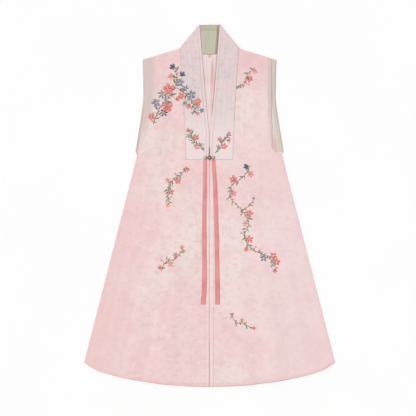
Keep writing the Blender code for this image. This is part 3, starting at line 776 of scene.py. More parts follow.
def collar_silk():
    """Paler greyish-pink silk of the collar, with pressed streaks along it, a topstitched free edge, and
    painted shade along its free edge, its seam and its lower ends, darkest where the bands meet.
    """
    paint = Paint("collar silk", CLOTH)
    across, along, free = (paint.fact(name) for name in ("across", "along", "free"))
    streaks = paint.strip_noise(across * 120, along * 7, 2.0)
    paint.ground((223, 206, 206), (213, 194, 196), paint.smooth(streaks, 0.34, 0.72) * 0.6)
    paint.over(228, 208, 204, paint.patches(15.0, 2.0, 0.5, 0.44, 0.66, (1, 4, 0)) * 0.6)
    leaves = paint.noise(paint.place((1.0, 1.3, 1.0), (4, 6, 0)), 62.0, 1.0, 0.4, 0.4)
    paint.over(206, 184, 190, paint.smooth(leaves, 0.54, 0.72) * 0.45)
    paint.over(234, 218, 216, paint.smooth(along, 0.22, 0.05) * 0.85)
    paint.over(231, 214, 213, paint.smooth(free, 0.0090, 0.0075) * 0.5)
    paint.over(203, 174, 174, paint.line(free, FREE_EDGE_STITCHES, 0.0019) * 0.5)
    east, _ = paint.east_north()
    left_band = paint.smooth(east, -0.002, 0.002)
    # painted shade: a dark line along the free edge, strongest on the left band above its lower end
    parted_edge_shade = paint.smooth(along, 0.12, 0.17) * (left_band * 0.72 + 0.06) + 0.12
    paint.over(172, 126, 119, paint.smooth(free - left_band * 0.0010, 0.0026, 0.0004) * parted_edge_shade)
    # painted shadow in the gap where the two bands meet at their lower ends
    gap_shadow = paint.smooth(along, 0.046, 0.032)
    paint.over(140, 104, 96, paint.smooth(free, 0.0026, 0.0010) * gap_shadow * 0.85)
    # painted shade: darker along the seam edge and, faintly, along the band's lower ends
    seam_shadow = (left_band * 0.25 + 0.25) * (paint.smooth(along, 0.10, 0.28) * 0.6 + 0.4)
    paint.over(203, 176, 176, paint.smooth(across, 0.0032, 0.0006) * seam_shadow)
    paint.over(218, 182, 182, paint.smooth(along, 0.0030, 0.0006) * 0.2)
    return paint.finish(0.5, silk_weave(paint) + streaks * 0.8, 0.0001)


band_across = columns(0, 1, 31)
band_share = levels(0, 1, 111)
band_seam_y = mix(COLLAR_END_Y, seam_end.y, band_share)
band_seam_x = collar_seam_x(band_seam_y)
band_free_y = mix(COLLAR_END_Y, free_end.y, band_share)
band_seam_low = mix(FRONT_LOW, BAND_LOW_AT_FOLD, band_rise_at_seam(band_seam_y))
band_free_low = mix(FRONT_LOW, BAND_LOW_AT_FOLD, ease((band_share - FREE_RISE_FROM) / FREE_RISE_RUN))
band_x = mix(band_seam_x, collar_edge_x(band_free_y), band_across)
band_y = mix(band_seam_y, band_free_y, band_across)
band_z = mix(band_seam_low, band_free_low, band_across) + COLLAR_WALL
for middle, half, height, strongest in PRESS_CREASES:
    strength = CREASE_LEAST + (1 - CREASE_LEAST) * np.exp(-((band_share - strongest) ** 2) / CREASE_SPREAD)
    band_z = band_z + height * bell((band_across - middle) * BAND_WIDTH / half) * strength
turn = np.linspace(0, math.pi, 15)[None, 1:]
axis_x = mix(seam_end.x, free_end.x, band_across)
axis_y = mix(seam_end.y, free_end.y, band_across)
turn_x = axis_x + outward.x * FOLD_AXIS_Z * np.sin(turn)
turn_y = axis_y + outward.y * FOLD_AXIS_Z * np.sin(turn)
turn_z = FOLD_AXIS_Z * (1 + np.cos(turn)) + 0 * axis_x
neck_back = np.linspace(1, 0, 27)[None, 1:]
neck_top_y = free_end.y + NECK_TOP_ARCH
neck_seam_x = seam_end.x * neck_back
neck_x = mix(neck_seam_x, free_end.x * neck_back, band_across)
neck_y = mix(neckline_y(neck_seam_x) + SEAM, mix(neck_top_y, free_end.y, neck_back**2), band_across)
half_x, half_y = joined(band_x, turn_x, neck_x), joined(band_y, turn_y, neck_y)
half_z = joined(band_z, turn_z, 0 * neck_x)
collar_x = joined(half_x, -half_x[:, -2::-1])
collar_y, collar_z = (joined(half, half[:, -2::-1]) for half in (half_y, half_z))
steps = np.hypot(np.diff(collar_x, axis=1), np.diff(collar_y, axis=1))
steps = steps + np.abs(np.diff(collar_z, axis=1)) * 0.5
run = joined(0 * band_across, np.cumsum(steps, axis=1))
band_width = np.hypot(collar_x[0] - collar_x[-1], collar_y[0] - collar_y[-1])
collar_facts = {
    "across": band_across * band_width,
    "free": (1 - band_across) * band_width,
    "along": np.minimum(run, run[:, -1:] - run),
}
collar = cloth(
    "collar_silk", collar_x, collar_y, collar_z, collar_facts, COLLAR_WALL, collar_silk(),
    sage_lining("sage collar lining", (186, 183, 162), (178, 174, 152)), flip=True
)
dressed(collar, "collar")


# Collar facing: the sage lining of the collar's back part, seen between the two bands.
# Its top 16 mm are a turned hem of a yellower cast, held by one row of stitches.
FACING_HEM = 0.0165


def neck_lining():
    """Sage lining at the back of the neck, with its turned hem and the shade beside the left band."""
    paint = Paint("sage neck lining", CLOTH)
    streaks = paint.noise(paint.place((330, 7, 1)), 1.0, 3.0, 0.6)
    down = paint.fact("line")
    paint.ground((195, 192, 173), (183, 180, 159), paint.smooth(streaks, 0.38, 0.66))
    paint.over(182, 179, 155, paint.smooth(down, FACING_HEM + 0.0008, FACING_HEM) * 0.8)
    paint.over(158, 154, 128, paint.line(down, FACING_HEM, 0.0013) * 0.6)
    paint.over(166, 164, 136, paint.smooth(down, 0.0022, 0.0008) * 0.6)
    shaded = paint.smooth(paint.fact("edge"), 0.0098, 0.0022)
    paint.over(148, 134, 107, shaded * 0.90)
    paint.over(168, 160, 108, shaded * paint.smooth(down, FACING_HEM + 0.004, FACING_HEM - 0.002) * 0.60)
    return paint.finish(0.5, silk_weave(paint) + streaks * 0.8, 0.0001)


NECK_FACING_INSET = 0.0006
facing_corner = seam_end - outward * FACING_INSET
facing_top = free_end - outward * FACING_INSET
facing_top.y = min(facing_top.y, free_end.y - NECK_FACING_INSET)
neck_columns = columns(-1, 1, 61)
neck_levels = levels(0, 1, 31)
low_x = facing_corner.x * neck_columns
low_y = neckline_y(low_x) + SEAM + NECK_FACING_INSET
high_y = mix(neck_top_y - NECK_FACING_INSET, facing_top.y, neck_columns**2)
x = mix(low_x, facing_top.x * neck_columns, neck_levels)
y = mix(low_y, high_y, neck_levels)
gape = collar_edge_x(y)
facts = {"line": high_y - y, "edge": np.where(x > 0, gape - x, 0.5)}
z = np.full(x.shape, NECK_FACING_TOP)
sage_neck = neck_lining()
neck_facing = cloth("collar_facing_cloth", x, y, z, facts, FACING_WALL, sage_neck, sage_neck)
dressed(neck_facing, "collar_facing")


# Neck tab: a short blank loop of woven tape, sewn in at the middle of the back neckline.
# It carries nothing; two bar tacks hold its upper corners.
tab_low, tab_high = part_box("neck_tab")


def tape():
    paint = Paint("woven tape", CLOTH)
    ribs = paint.wave(0.0009, "X")
    paint.ground((232, 205, 186), (214, 182, 160), ribs)
    return paint.finish(0.7, ribs, 0.0001)


x = columns(tab_low.x, tab_high.x, 13) + np.zeros((1, 11))
y = levels(tab_low.y, tab_high.y, 11) + np.zeros((13, 1))
z = tab_high.z + 0.0002 * np.sin((y - tab_low.y) / (tab_high.y - tab_low.y) * math.pi)
woven = tape()
tab = cloth("neck_tab_tape", x, y, z, {}, tab_high.z - tab_low.z, woven, woven)
dressed(tab, "neck_tab")


# Ribbons: two coral satin ribbons, sewn under the collar's lower end and laid straight down the fronts.
# Each has a fine woven edge, a straight cut end and a few low ripples where it doesn't touch the silk.
RIBBON_WIDTH = 0.0150  # at the cut end; the ribbon is drawn in towards the collar
RIBBON_WALL = 0.0010
RIBBON_END_Y = -0.3104
RIBBON_LOW = FRONT_LOW + WALL + SEAM
RIBBON_COURSE = (
    # share of the length, x of the right ribbon, x of the left ribbon, half width
    (0.00, -0.0134, 0.0124, 0.0060),
    (0.20, -0.0141, 0.0181, 0.0062),
    (0.34, -0.0160, 0.0206, 0.0066),
    (0.57, -0.0167, 0.0230, 0.0069),
    (0.78, -0.0155, 0.0240, 0.0072),
    (0.90, -0.0165, 0.0252, 0.0074),
    (1.00, -0.0198, 0.0256, 0.0075),
)
RIBBON_LIFTS = (
    # share of the length, half span, height
    (0.22, 0.07, 0.0008),
    (0.55, 0.10, 0.0012),
    (0.84, 0.06, 0.0009),
)


def coral_satin():
    """Coral satin with a lengthwise thread, a slow drift of shade and a darker woven edge."""
    paint = Paint("coral satin", {**CLOTH, "Sheen Weight": 0.05, "Specular IOR Level": 0.4})
    across, along = paint.fact("across"), paint.fact("along")
    thread = paint.strip_noise(across * 900, along * 12, 2.0)
    drift = paint.strip_noise(across * 30, along * 16, 3.0)
    paint.ground((227, 148, 147), (216, 132, 130), paint.smooth(drift, 0.36, 0.66))
    paint.over(237, 168, 166, paint.smooth(thread, 0.52, 0.72) * 0.35)
    edge = paint.smooth(paint.math("ABSOLUTE", across), RIBBON_WIDTH / 2 - 0.0016, RIBBON_WIDTH / 2 - 0.0006)
    paint.over(209, 121, 120, edge * 0.6)
    return paint.finish(0.34 + thread * 0.16, thread * 0.6 - edge * 0.8, 0.00012)


satin = coral_satin()
ribbon_share = levels(0, 1, 161)
ribbon_across = columns(-1.0, 1.0, 13)
for side_name, _, column in SIDES:
    middle = from_table(RIBBON_COURSE, ribbon_share, column)
    lift = np.zeros_like(ribbon_share)
    for at, half_span, height in RIBBON_LIFTS:
        lift = lift + height * bell((ribbon_share - at) / half_span)
    x = middle + from_table(RIBBON_COURSE, ribbon_share, 3) * ribbon_across
    y = mix(COLLAR_END_Y - SEAM, RIBBON_END_Y, ribbon_share) + 0 * x
    z = RIBBON_LOW + RIBBON_WALL * 0.8 + lift + 0.0002 * np.cos(ribbon_across * math.pi / 2) + 0 * x
    facts = {"across": RIBBON_WIDTH / 2 * ribbon_across, "along": COLLAR_END_Y - y}
    ribbon = cloth(f"ribbon_{side_name}_satin", x, y, z, facts, RIBBON_WALL * 0.6, satin, satin, flip=True)
    dressed(ribbon, f"ribbon_{side_name}")


# Clasp: two small flower plates of cast brass, dark in the hollows and worn bright, sewn on beside the gap.
# The right one ends in a roped ring, the left one in a ball that sits in the ring and slips out sideways.
CLASP_Y = COLLAR_END_Y + 0.0064
CLASP_LOW = FRONT_LOW + COLLAR_WALL + SEAM
PLATE_X = 0.0124
PLATE_RADIUS = 0.0060
PLATE_PETALS = 5
PLATE_RIM = 0.0010
PLATE_CROWN = 0.0016
BOSS_SHARE = 0.36  # of the plate's radius
BOSS_RADIUS = 0.0022
BOSS_HEIGHT = 0.0029
RING_MIDDLE = 0.0055
RING_WIRE = 0.0011
RING_LIFT = 0.0026
ROPE_TURNS = 22
BALL_RADIUS = 0.0033
BALL_FLUTES = 10
BALL_LEVELS = 22
STEM_WIDTH = 0.0030
STEM_HEIGHT = 0.0012


def angles(count):
    """Even angles round a full turn."""
    return [2 * math.pi * n / count for n in range(count)]


def smooth_piece(name, shape, *materials):
    """Turns a built shape into a piece that is smooth and has its faces outwards."""
    bmesh.ops.recalc_face_normals(shape, faces=shape.faces)
    mesh = bpy.data.meshes.new(name)
    shape.to_mesh(mesh)
    shape.free()
    mesh.shade_smooth()
    return add_piece(name, mesh, *materials)


def shells(name, bodies, facts, *materials):
    """A piece of closed shells, each a list of rings of points: a place, then a number for each fact.
    A shell that ends with its first ring again runs round into itself, and any other is capped."""
    shape = bmesh.new()
    layers = [shape.verts.layers.float.new(fact) for fact in facts]
    for rings in bodies:
        rows = []
        round_about = rings[-1] is rings[0]
        for ring in rings[:-1] if round_about else rings:
            row = [shape.verts.new(point[:3]) for point in ring]
            for vertex, point in zip(row, ring):
                for layer, value in zip(layers, point[3:]):
                    vertex[layer] = value
            rows.append(row)
        if round_about:
            rows.append(rows[0])
        else:
            shape.faces.new(rows[0][::-1])
            shape.faces.new(rows[-1])
        for row, following in zip(rows, rows[1:]):
            for n in range(len(row)):
                m = (n + 1) % len(row)
                shape.faces.new([row[n], row[m], following[m], following[n]])
    return smooth_piece(name, shape, *materials)


def flower_plate(middle_x):
    """A domed plate of five rounded petals with raised rims and veins, and a beaded boss in the middle."""
    rings = []
    for share in (1.0, 1.02, 1.0, 0.95, 0.88, 0.80, 0.70, 0.60, 0.50, 0.43, 0.37, 0.34, 0.26, 0.16, 0.06):
        outer = ease((share - BOSS_SHARE) / 0.3)
        ring = []
        for angle in angles(100):
            lobe = abs(math.cos(PLATE_PETALS * angle / 2))
            radius = PLATE_RADIUS * share * (1 - 0.16 * outer * (1 - lobe**0.6))
            if not rings:
                height, worn = 0.0, 0.0
            elif share > 0.97:
                height, worn = PLATE_RIM * (0.55 if share > 1.01 else 1.0), 0.55
            elif share > BOSS_SHARE:
                hollow = math.sin(math.pi * (share - BOSS_SHARE) / 0.61)
                vein = 0.00025 * outer * max(0.0, 1 - (1 - lobe) * 60)
                height = mix(PLATE_CROWN, PLATE_RIM, outer) + 0.0006 * hollow * lobe**0.5 - vein
                worn = 0.70 * hollow * lobe**2 + 0.22
            else:
                bead = 0.5 + 0.5 * math.cos(10 * angle)
                rise = math.cos(share / BOSS_SHARE * math.pi / 2) ** 0.5
                height = PLATE_CROWN + (BOSS_HEIGHT - PLATE_CROWN) * (0.35 + 0.65 * rise)
                height += 0.00022 * bead * (1 if share > 0.30 else 0)
                worn = 0.35 + 0.65 * rise
            place = (middle_x + radius * math.cos(angle), CLASP_Y + radius * math.sin(angle))
            ring.append((*place, CLASP_LOW + height, worn))
        rings.append(ring)
    return rings


def roped_ring():
    """A round ring of two twisted wires, modelled as one ring with a rope's slanted grooves."""
    rings = []
    for angle in angles(176):
        ring = []
        for turn in angles(14):
            strand = abs(math.cos(turn + ROPE_TURNS * angle / 2))
            wire = RING_WIRE * (0.84 + 0.18 * strand**0.7)
            radius = RING_MIDDLE + wire * math.cos(turn)
            place = (radius * math.cos(angle), CLASP_Y + radius * math.sin(angle))
            worn = 0.6 * strand * max(0.0, math.sin(turn)) ** 2
            ring.append((*place, CLASP_LOW + RING_LIFT + wire * math.sin(turn), worn))
        rings.append(ring)
    return rings + rings[:1]


def fluted_ball():
    """A cast ball with ten shallow flutes that run up to a small button."""
    rings = []
    for m in range(1, BALL_LEVELS):
        polar = math.pi * m / BALL_LEVELS
        button = 1.06 if m > BALL_LEVELS - 3 else 1.0
        ring = []
        for angle in angles(60):
            flute = abs(math.cos(BALL_FLUTES * angle / 2))
            radius = BALL_RADIUS * (0.93 + 0.07 * mix(1.0, flute**0.6, math.sin(polar))) * button
            out = radius * math.sin(polar)
            place = (out * math.cos(angle), CLASP_Y + out * math.sin(angle))
            height = CLASP_LOW + 0.0003 + BALL_RADIUS - radius * math.cos(polar)
            ring.append((*place, height, 0.35 + 0.65 * max(0.0, -math.cos(polar)) * flute))
        rings.append(ring)
    return rings


def stem(x_from, x_to, low, high):
    """A waisted neck of metal between a plate and its ring or ball."""
    rings = []
    for share in np.linspace(0, 1, 9):
        half = STEM_WIDTH / 2 * (1 - 0.28 * math.sin(math.pi * share))
        rings.append([
            (
                mix(x_from, x_to, share), CLASP_Y + half * math.cos(angle),
                (low + high) / 2 + (high - low) / 2 * math.sin(angle), 0.4 * max(0.0, math.sin(angle)),
            )
            for angle in angles(16)
        ])
    return rings


def antique_brass():
    """Brass darkened brown-green in the hollows and rubbed to a warm gold on the high parts."""
    paint = Paint("antique brass", {"Metallic": 0.75, "Specular IOR Level": 0.6})
    spots = paint.noise(paint.place(), 900.0, 3.0, 0.6)
    rubbed = paint.smooth(paint.fact("worn") + spots * 0.35, 0.28, 1.00)
    paint.ground((112, 86, 68), (114, 96, 72), paint.smooth(spots, 0.4, 0.65))
    paint.over(216, 194, 178, rubbed)
    return paint.finish(0.62 - rubbed * 0.18, spots, 0.00005)


brass = antique_brass()
ring_low = CLASP_LOW + RING_LIFT - RING_WIRE
ring_stem = stem(-PLATE_X + BOSS_RADIUS, -RING_MIDDLE, ring_low, ring_low + 2 * RING_WIRE)
ball_stem = stem(BALL_RADIUS * 0.5, PLATE_X - BOSS_RADIUS, CLASP_LOW, CLASP_LOW + STEM_HEIGHT)
for node, bodies in (
    ("clasp_eye", (flower_plate(-PLATE_X), roped_ring(), ring_stem)),
    ("clasp_ball", (flower_plate(PLATE_X), fluted_ball(), ball_stem)),
):
    dressed(shells(f"{node}_brass", bodies, ["worn"], brass), node)


# Topstitching: rows of small machine stitches in a matching thread, sewn with one tree of Geometry Nodes.
# They hold the hems, the fronts' edges, both collar edges, the facings, the tab and the ribbons' sewn ends.
STITCH_SPACING = 0.0032
STITCH_SIZE = (0.0024, 0.0005, 0.0004)
STITCH_SLANT = (0.0, 0.0, 0.0)
THREAD_LIFT = 0.0001
BACK_HEM_STITCHES = 0.0095
ARMHOLE_STITCHES = 0.0030
SEAM_STITCHES = 0.0030
HEM_ROW_STOP = 0.012  # rows of stitches stop this far from a corner
EDGE_ROW_STOP = 0.004
CLASP_CLEAR = 0.0120
TACK_INSET = 0.0018
TACK_LENGTH = 0.0016


def stitch_shape():
    """One stitch of unit length along X: a plump thread that dips at both ends."""
    rings = []
    for along, plump in ((-0.5, 0.30), (-0.36, 0.85), (0.0, 1.0), (0.36, 0.85), (0.5, 0.30)):
        dip = -0.8 * (1 - plump)
        rings.append([
            (along, plump * math.cos(turn) / 2, dip + plump * math.sin(turn) / 2, along * 5 + math.sin(turn))
            for turn in angles(6)
        ])
    return shells("stitch", [rings], ["thread"])


def new_tree(name, inputs):
    """An empty tree of Geometry Nodes with named inputs, one geometry output and a maker of nodes."""
    tree = bpy.data.node_groups.new(name, "GeometryNodeTree")
    for label, kind in inputs:
        tree.interface.new_socket(label, in_out="INPUT", socket_type=f"NodeSocket{kind}")
    tree.interface.new_socket("Thread work", in_out="OUTPUT", socket_type="NodeSocketGeometry")

    def node(kind, settings, wires):
        made = add_node(tree, kind, settings, wires)
        return made.outputs[0] if made.outputs else made

    return tree, tree.nodes.new("NodeGroupInput").outputs, node


def end_tree(node, points, motif, turned, size, thread):
    """Sets one motif on each point, turned and sized, makes the copies real and gives them the thread."""
    shown = node("GeometryNodeObjectInfo", {}, {"Object": motif, "As Instance": True}).node.outputs
    wires = {"Points": points, "Instance": shown["Geometry"], "Rotation": turned, "Scale": size}
    real = node("GeometryNodeRealizeInstances", {}, {0: node("GeometryNodeInstanceOnPoints", {}, wires)})
    threaded = node("GeometryNodeSetMaterial", {}, {"Geometry": real, "Material": thread})
    node("NodeGroupOutput", {}, {0: threaded})


def row_tree():
    """Lays one stitch after another along each path, slanted from it by an angle."""
    inputs = (
        ("Paths", "Geometry"), ("Stitch", "Object"), ("Spacing", "Float"),
        ("Size", "Vector"), ("Slant", "Vector"), ("Thread", "Material"),
    )
    tree, given, node = new_tree("row of stitches", inputs)
    curve = node("GeometryNodeMeshToCurve", {}, {"Mesh": given["Paths"]})
    wires = {"Curve": curve, "Length": given["Spacing"]}
    spaced = node("GeometryNodeResampleCurve", {"mode": "LENGTH"}, wires)
    way = node("GeometryNodeInputTangent", {}, {})
    ahead = node("FunctionNodeAlignRotationToVector", {"axis": "X"}, {"Vector": way})
    up = {"Rotation": ahead, "Vector": (0.0, 0.0, 1.0)}
    level = node("FunctionNodeAlignRotationToVector", {"axis": "Z", "pivot_axis": "X"}, up)
    slant = node("FunctionNodeEulerToRotation", {}, {"Euler": given["Slant"]})
    wires = {"Rotation": level, "Rotate By": slant}
    turned = node("FunctionNodeRotateRotation", {"rotation_space": "LOCAL"}, wires)
    end_tree(node, spaced, given["Stitch"], turned, given["Size"], given["Thread"])
    return tree


def worked(tree, name, guide, values):
    """Runs a tree on a guide mesh and keeps what it makes as one plain mesh that rides on the robe."""
    piece = add_piece(name, guide)
    work = piece.modifiers.new("work", "NODES")
    work.node_group = tree
    for item in tree.interface.items_tree:
        if item.name in values:
            work[item.identifier] = values[item.name]
    finished = piece.evaluated_get(bpy.context.evaluated_depsgraph_get())
    made = bpy.data.meshes.new_from_object(finished)
    piece.modifiers.clear()
    piece.data = made
    dressed(piece)


def cloth_face(*pieces):
    """The finished faces of some cloths, to lay thread on."""
    graph = bpy.context.evaluated_depsgraph_get()
    points, faces = [], []
    for piece in pieces:
        finished = piece.evaluated_get(graph)
        mesh = finished.to_mesh()
        start = len(points)
        points += [vertex.co.copy() for vertex in mesh.vertices]
        faces += [[start + n for n in face.vertices] for face in mesh.polygons]
        finished.to_mesh_clear()
    return BVHTree.FromPolygons(points, faces)


def upon(face, x, y, lift, under=False):
    """The place on a cloth's face over a point, or on its underside, and the way it faces there."""
    way = 1.0 if under else -1.0
    place, normal, _, _ = face.ray_cast(Vector((x, y, -0.1 * way)), Vector((0.0, 0.0, way)))
    if place is None:
        return None
    return place + Vector((0.0, 0.0, -way * lift)), normal


def sewn_paths(name, face, lines, slot, light, dark, spacing, size, slant, lift, under=False):
    """Sews one stitch after another along lines of places on a cloth's face."""
    points, edges = [], []
    for line in lines:
        path = [found[0] for found in (upon(face, x, y, lift, under) for x, y in line) if found]
        edges += [(len(points) + n, len(points) + n + 1) for n in range(len(path) - 1)]
        points += path
    mesh = bpy.data.meshes.new(name)
    mesh.from_pydata(points, edges, [])
    worked(rows, name, mesh, {
        "Stitch": stitch, "Spacing": spacing, "Size": size, "Slant": slant,
        "Thread": sewing_thread(f"{name} thread", light, dark),
    })


def sewing_thread(name, light, dark):
    """Spun thread: its twist shows as slanted light and dark."""
    paint = Paint(name, {"Specular IOR Level": 0.35})
    ply = paint.ply()
    paint.ground(light, dark, ply * 0.6)
    return paint.finish(0.55, ply, 0.00005)


stitch = stitch_shape()
rows = row_tree()


def sewn_rows(name, face, lines, light, dark, slot, under=False):
    """Sews rows of topstitching along lines of x and y on a cloth's face."""
    lines = [list(zip(xs, ys)) for xs, ys in lines]
    stitches = (STITCH_SPACING, STITCH_SIZE, STITCH_SLANT, THREAD_LIFT)
    sewn_paths(name, face, lines, slot, light, dark, *stitches, under)


pink_thread = ((233, 198, 197), (220, 180, 180))
sage_thread = ((176, 170, 146), (152, 146, 122))
for side_name, sign, set_in in SIDES:
    face = cloth_face(fronts[side_name])
    hem_x = np.linspace(CENTRE_STITCHES + SEAM, HEM_HALF - HEM_ROW_STOP, 150)
    hem_line = front_hem_y(hem_x) + HEM_STITCHES
    edge_y = np.linspace(HEM_Y + HEM_ROW_STOP, COLLAR_END_Y - EDGE_ROW_STOP, 200)
    arm_y = np.linspace(UNDERARM_Y + EDGE_ROW_STOP, SHOULDER_TIP[1] - 0.003, 90)
    arm_x = front_armhole_x(arm_y, set_in) - ARMHOLE_STITCHES
    lines = [(sign * hem_x, hem_line), (0 * edge_y + sign * CENTRE_STITCHES, edge_y), (sign * arm_x, arm_y)]
    sewn_rows(f"front_{side_name}_stitches", face, lines, *pink_thread, "pink_silk")

collar_face = cloth_face(collar)
collar_lines = []
for sign in (-1, 1):
    share = np.linspace(0.0, 0.985, 160)
    y = mix(COLLAR_END_Y + 0.0015, free_end.y, share)
    collar_lines.append((sign * (collar_edge_x(y) + FREE_EDGE_STITCHES), y))
    y = mix(COLLAR_END_Y + SEAM_STITCHES, seam_end.y, share)
    collar_lines.append((sign * (collar_seam_x(y) - SEAM_STITCHES), y))
    x = np.linspace(CLASP_CLEAR, COLLAR_END_HALF - EDGE_ROW_STOP, 24)
    collar_lines.append((sign * x, 0 * x + COLLAR_END_Y + SEAM_STITCHES))
sewn_rows("collar_stitches", collar_face, collar_lines, (227, 208, 208), (208, 185, 185), "collar_silk")

for side_name, sign, insets in (("right", -1, NARROW_FACING_STITCHES), ("left", 1, FACING_STITCHES)):
    face = cloth_face(facings[side_name])
    y = np.linspace(UNDERARM_Y + EDGE_ROW_STOP, SHOULDER_TIP[1] - EDGE_ROW_STOP, 90)
    lines = [(sign * (armhole_x(y) - FACING_INSET - inset), y) for inset in insets]
    sewn_rows(f"armhole_facing_{side_name}_stitches", face, lines, *sage_thread, "sage_lining")

x = np.linspace(-facing_top.x * 0.96, facing_top.x * 0.96, 60)
lines = [(x, neck_top_y - NECK_FACING_INSET - FACING_HEM + 0 * x)]
sewn_rows("collar_facing_stitches", cloth_face(neck_facing), lines, *sage_thread, "sage_lining")

tack_y = (tab_high.y - TACK_INSET, tab_high.y - TACK_INSET - TACK_LENGTH)
lines = [((place, place + 0.0001), tack_y) for place in (tab_low.x + TACK_INSET, tab_high.x - TACK_INSET)]
sewn_rows("neck_tab_stitches", cloth_face(tab), lines, (206, 170, 144), (187, 151, 128), "tab_tape")

x = np.linspace(-HEM_HALF + HEM_ROW_STOP, HEM_HALF - HEM_ROW_STOP, 280)
lines = [(x, hem_y(x) + BACK_HEM_STITCHES)]
sewn_rows("back_hem_stitches", cloth_face(back), lines, *pink_thread, "pink_silk", under=True)


# Embroidery: blossom sprays in padded satin stitch over the fronts and collar, with stem-stitched twigs.
# Each petal, leaf and knot is one small closed form laid on the cloth, and its colour runs from root to tip.
SATIN_THREADS = 11  # threads side by side across one petal
PAIR_EVERY = 3  # each third sprout has a smaller one opposite
PETAL_PUFF = 0.0008
LEAF_PUFF = 0.0006
PETAL_LIFT = 0.0002  # petals lie over the leaves and twigs
KNOT_SIZE = (0.0017, 0.0017, 0.0010)
TWIG_SPACING = 0.0022
TWIG_SIZE = (0.0038, 0.0018, 0.0010)
STALK_SIZE = (0.0032, 0.0011, 0.0007)
TWIG_SLANT = (0.0, 0.0, math.radians(14))
TWIG_LIFT = 0.0002
STALK_FROM = 0.004  # what grows farther than this from its twig has a stalk
STEP_OVER = 0.0010  # where a shape spans a seam higher than this, it lies at the height of the upper cloth

GREENS = ("teal", "teal", "sage", "sage", "moss")

THREADS = {
    # colour at the root, colour at the tip
    "coral": ((206, 66, 66), (242, 146, 138)),
    "rose": ((222, 92, 104), (246, 172, 174)),
    "salmon": ((232, 122, 92), (246, 178, 156)),
    "slate": ((84, 90, 110), (150, 157, 172)),
    "navy": ((46, 50, 80), (90, 100, 130)),
    "teal": ((70, 106, 92), (134, 166, 148)),
    "sage": ((102, 116, 86), (164, 174, 146)),
    "moss": ((116, 108, 62), (178, 166, 112)),
    "lilac": ((214, 199, 207), (224, 208, 213)),
    "cream": ((236, 214, 160), (248, 236, 206)),
    "amber": ((198, 150, 62), (232, 196, 110)),
}

rng = random.Random(5)
embroidered_face = cloth_face(fronts["right"], fronts["left"], collar)
shapes = {"petal": [], "leaf": [], "knot": []}
twigs = []
stalks = []


def satin_shape(name, outline, slant):
    """A closed, domed form one unit long and wide, with the run of its threads as numbers at its points."""
    along_cells, across_cells = 6, 4
    shape = bmesh.new()
    thread, run = (shape.verts.layers.float.new(fact) for fact in ("thread", "along"))
    grid = []
    for along in np.arange(along_cells + 1) / along_cells:
        row = []
        for c in range(across_cells + 1):
            across = 2 * c / across_cells - 1
            dome = (1 - across**2) * math.sin(math.pi * min(0.94, 0.06 + along * 0.88)) ** 0.6
            vertex = shape.verts.new((along, across * outline(along) / 2, dome if abs(across) < 1 else -0.30))
            vertex[thread] = mix(across / 2, abs(across) * 0.5 + along * 1.4, slant) * SATIN_THREADS
            vertex[run] = along
            row.append(vertex)
        grid.append(row)
    for row, following in zip(grid, grid[1:]):
        for c in range(across_cells):
            shape.faces.new([row[c], following[c], following[c + 1], row[c + 1]])
    rim = grid[0] + [row[-1] for row in grid[1:-1]] + grid[-1][::-1] + [row[0] for row in grid[-2:0:-1]]
    shape.faces.new(rim)
    return smooth_piece(name, shape)


def knot_shape():
    """A French knot: a round button of wound thread with a dimple."""
    rings = [
        [
            (radius * math.cos(angle), radius * math.sin(angle), height, angle / math.pi + height * 2, height)
            for angle in angles(8)
        ]
        for radius, height in ((0.42, -0.1), (0.5, 0.35), (0.40, 0.85), (0.16, 0.95), (0.05, 0.70))
    ]
    return shells("knot", [rings], ["thread", "along"])


def petal_outline(along):
    """Width of a petal: narrow at its root, full near its rounded tip."""
    return 0.10 + 0.92 * math.sin(math.pi * min(1.0, along * 0.90 + 0.02) ** 1.35) ** 0.75


def leaf_outline(along):
    """Width of a leaf: fullest before its middle, drawn out to a point."""
    return 0.06 + 0.94 * math.sin(math.pi * min(along**0.85, 1.0)) ** 1.1


def lay(kind, x, y, heading, length, width, puff, thread, lift=0.0):
    """Lays one stitched shape on the cloth from its root at x, y, a little lighter or darker by chance."""
    root = upon(embroidered_face, x, y, lift)
    tip = upon(embroidered_face, x + length * math.cos(heading), y + length * math.sin(heading), lift)
    if root is None or tip is None:
        return
    if abs(root[0].z - tip[0].z) > STEP_OVER:
        root[0].z = tip[0].z = max(root[0].z, tip[0].z)
    ahead = (tip[0] - root[0]).normalized()
    aside = (root[1] + tip[1]).cross(ahead).normalized()
    turned = Matrix((ahead, aside, ahead.cross(aside))).transposed().to_euler()
    shade = rng.uniform(0.90, 1.08)
    colours = [[min(1.0, c * shade) for c in tone(*colour)[:3]] for colour in THREADS[thread]]
    shapes[kind].append((root[0], turned, (length, width, puff), *colours))


def heart_knots(x, y, spread, count, thread):
    """A ring of knots round one in the middle."""
    for n in range(count + 1):
        angle = 2 * math.pi * n / count + rng.uniform(-0.2, 0.2)
        away = spread if n < count else 0.0
        place = (x + away * math.cos(angle) - KNOT_SIZE[0] * 0.1, y + away * math.sin(angle))
        lay("knot", *place, rng.uniform(0, 6.28), *KNOT_SIZE, thread, 0.0004)


def blossom(x, y, radius, thread, petals=5, fullness=0.66, turn=0.0, heart="cream", inner=None):
    """An open flower of satin petals round a heart of knots, with a paler inner ring on the large ones."""
    for n in range(petals):
        heading = turn + 2 * math.pi * n / petals + rng.uniform(-0.10, 0.10)
        length = radius * rng.uniform(0.76, 0.90)
        root = (x + radius * 0.15 * math.cos(heading), y + radius * 0.15 * math.sin(heading))
        width = radius * fullness * rng.uniform(0.86, 1.08)
        lay("petal", *root, heading, length, width, PETAL_PUFF, thread, PETAL_LIFT)
    if inner:
        for n in range(petals):
            heading = turn + 2 * math.pi * (n + 0.5) / petals + rng.uniform(-0.12, 0.12)
            length = radius * rng.uniform(0.48, 0.58)
            lay("petal", x, y, heading, length, radius * 0.30, PETAL_PUFF, inner, PETAL_LIFT * 2.5)
    heart_knots(x, y, radius * 0.16, 5 if radius > 0.010 else 3, heart)


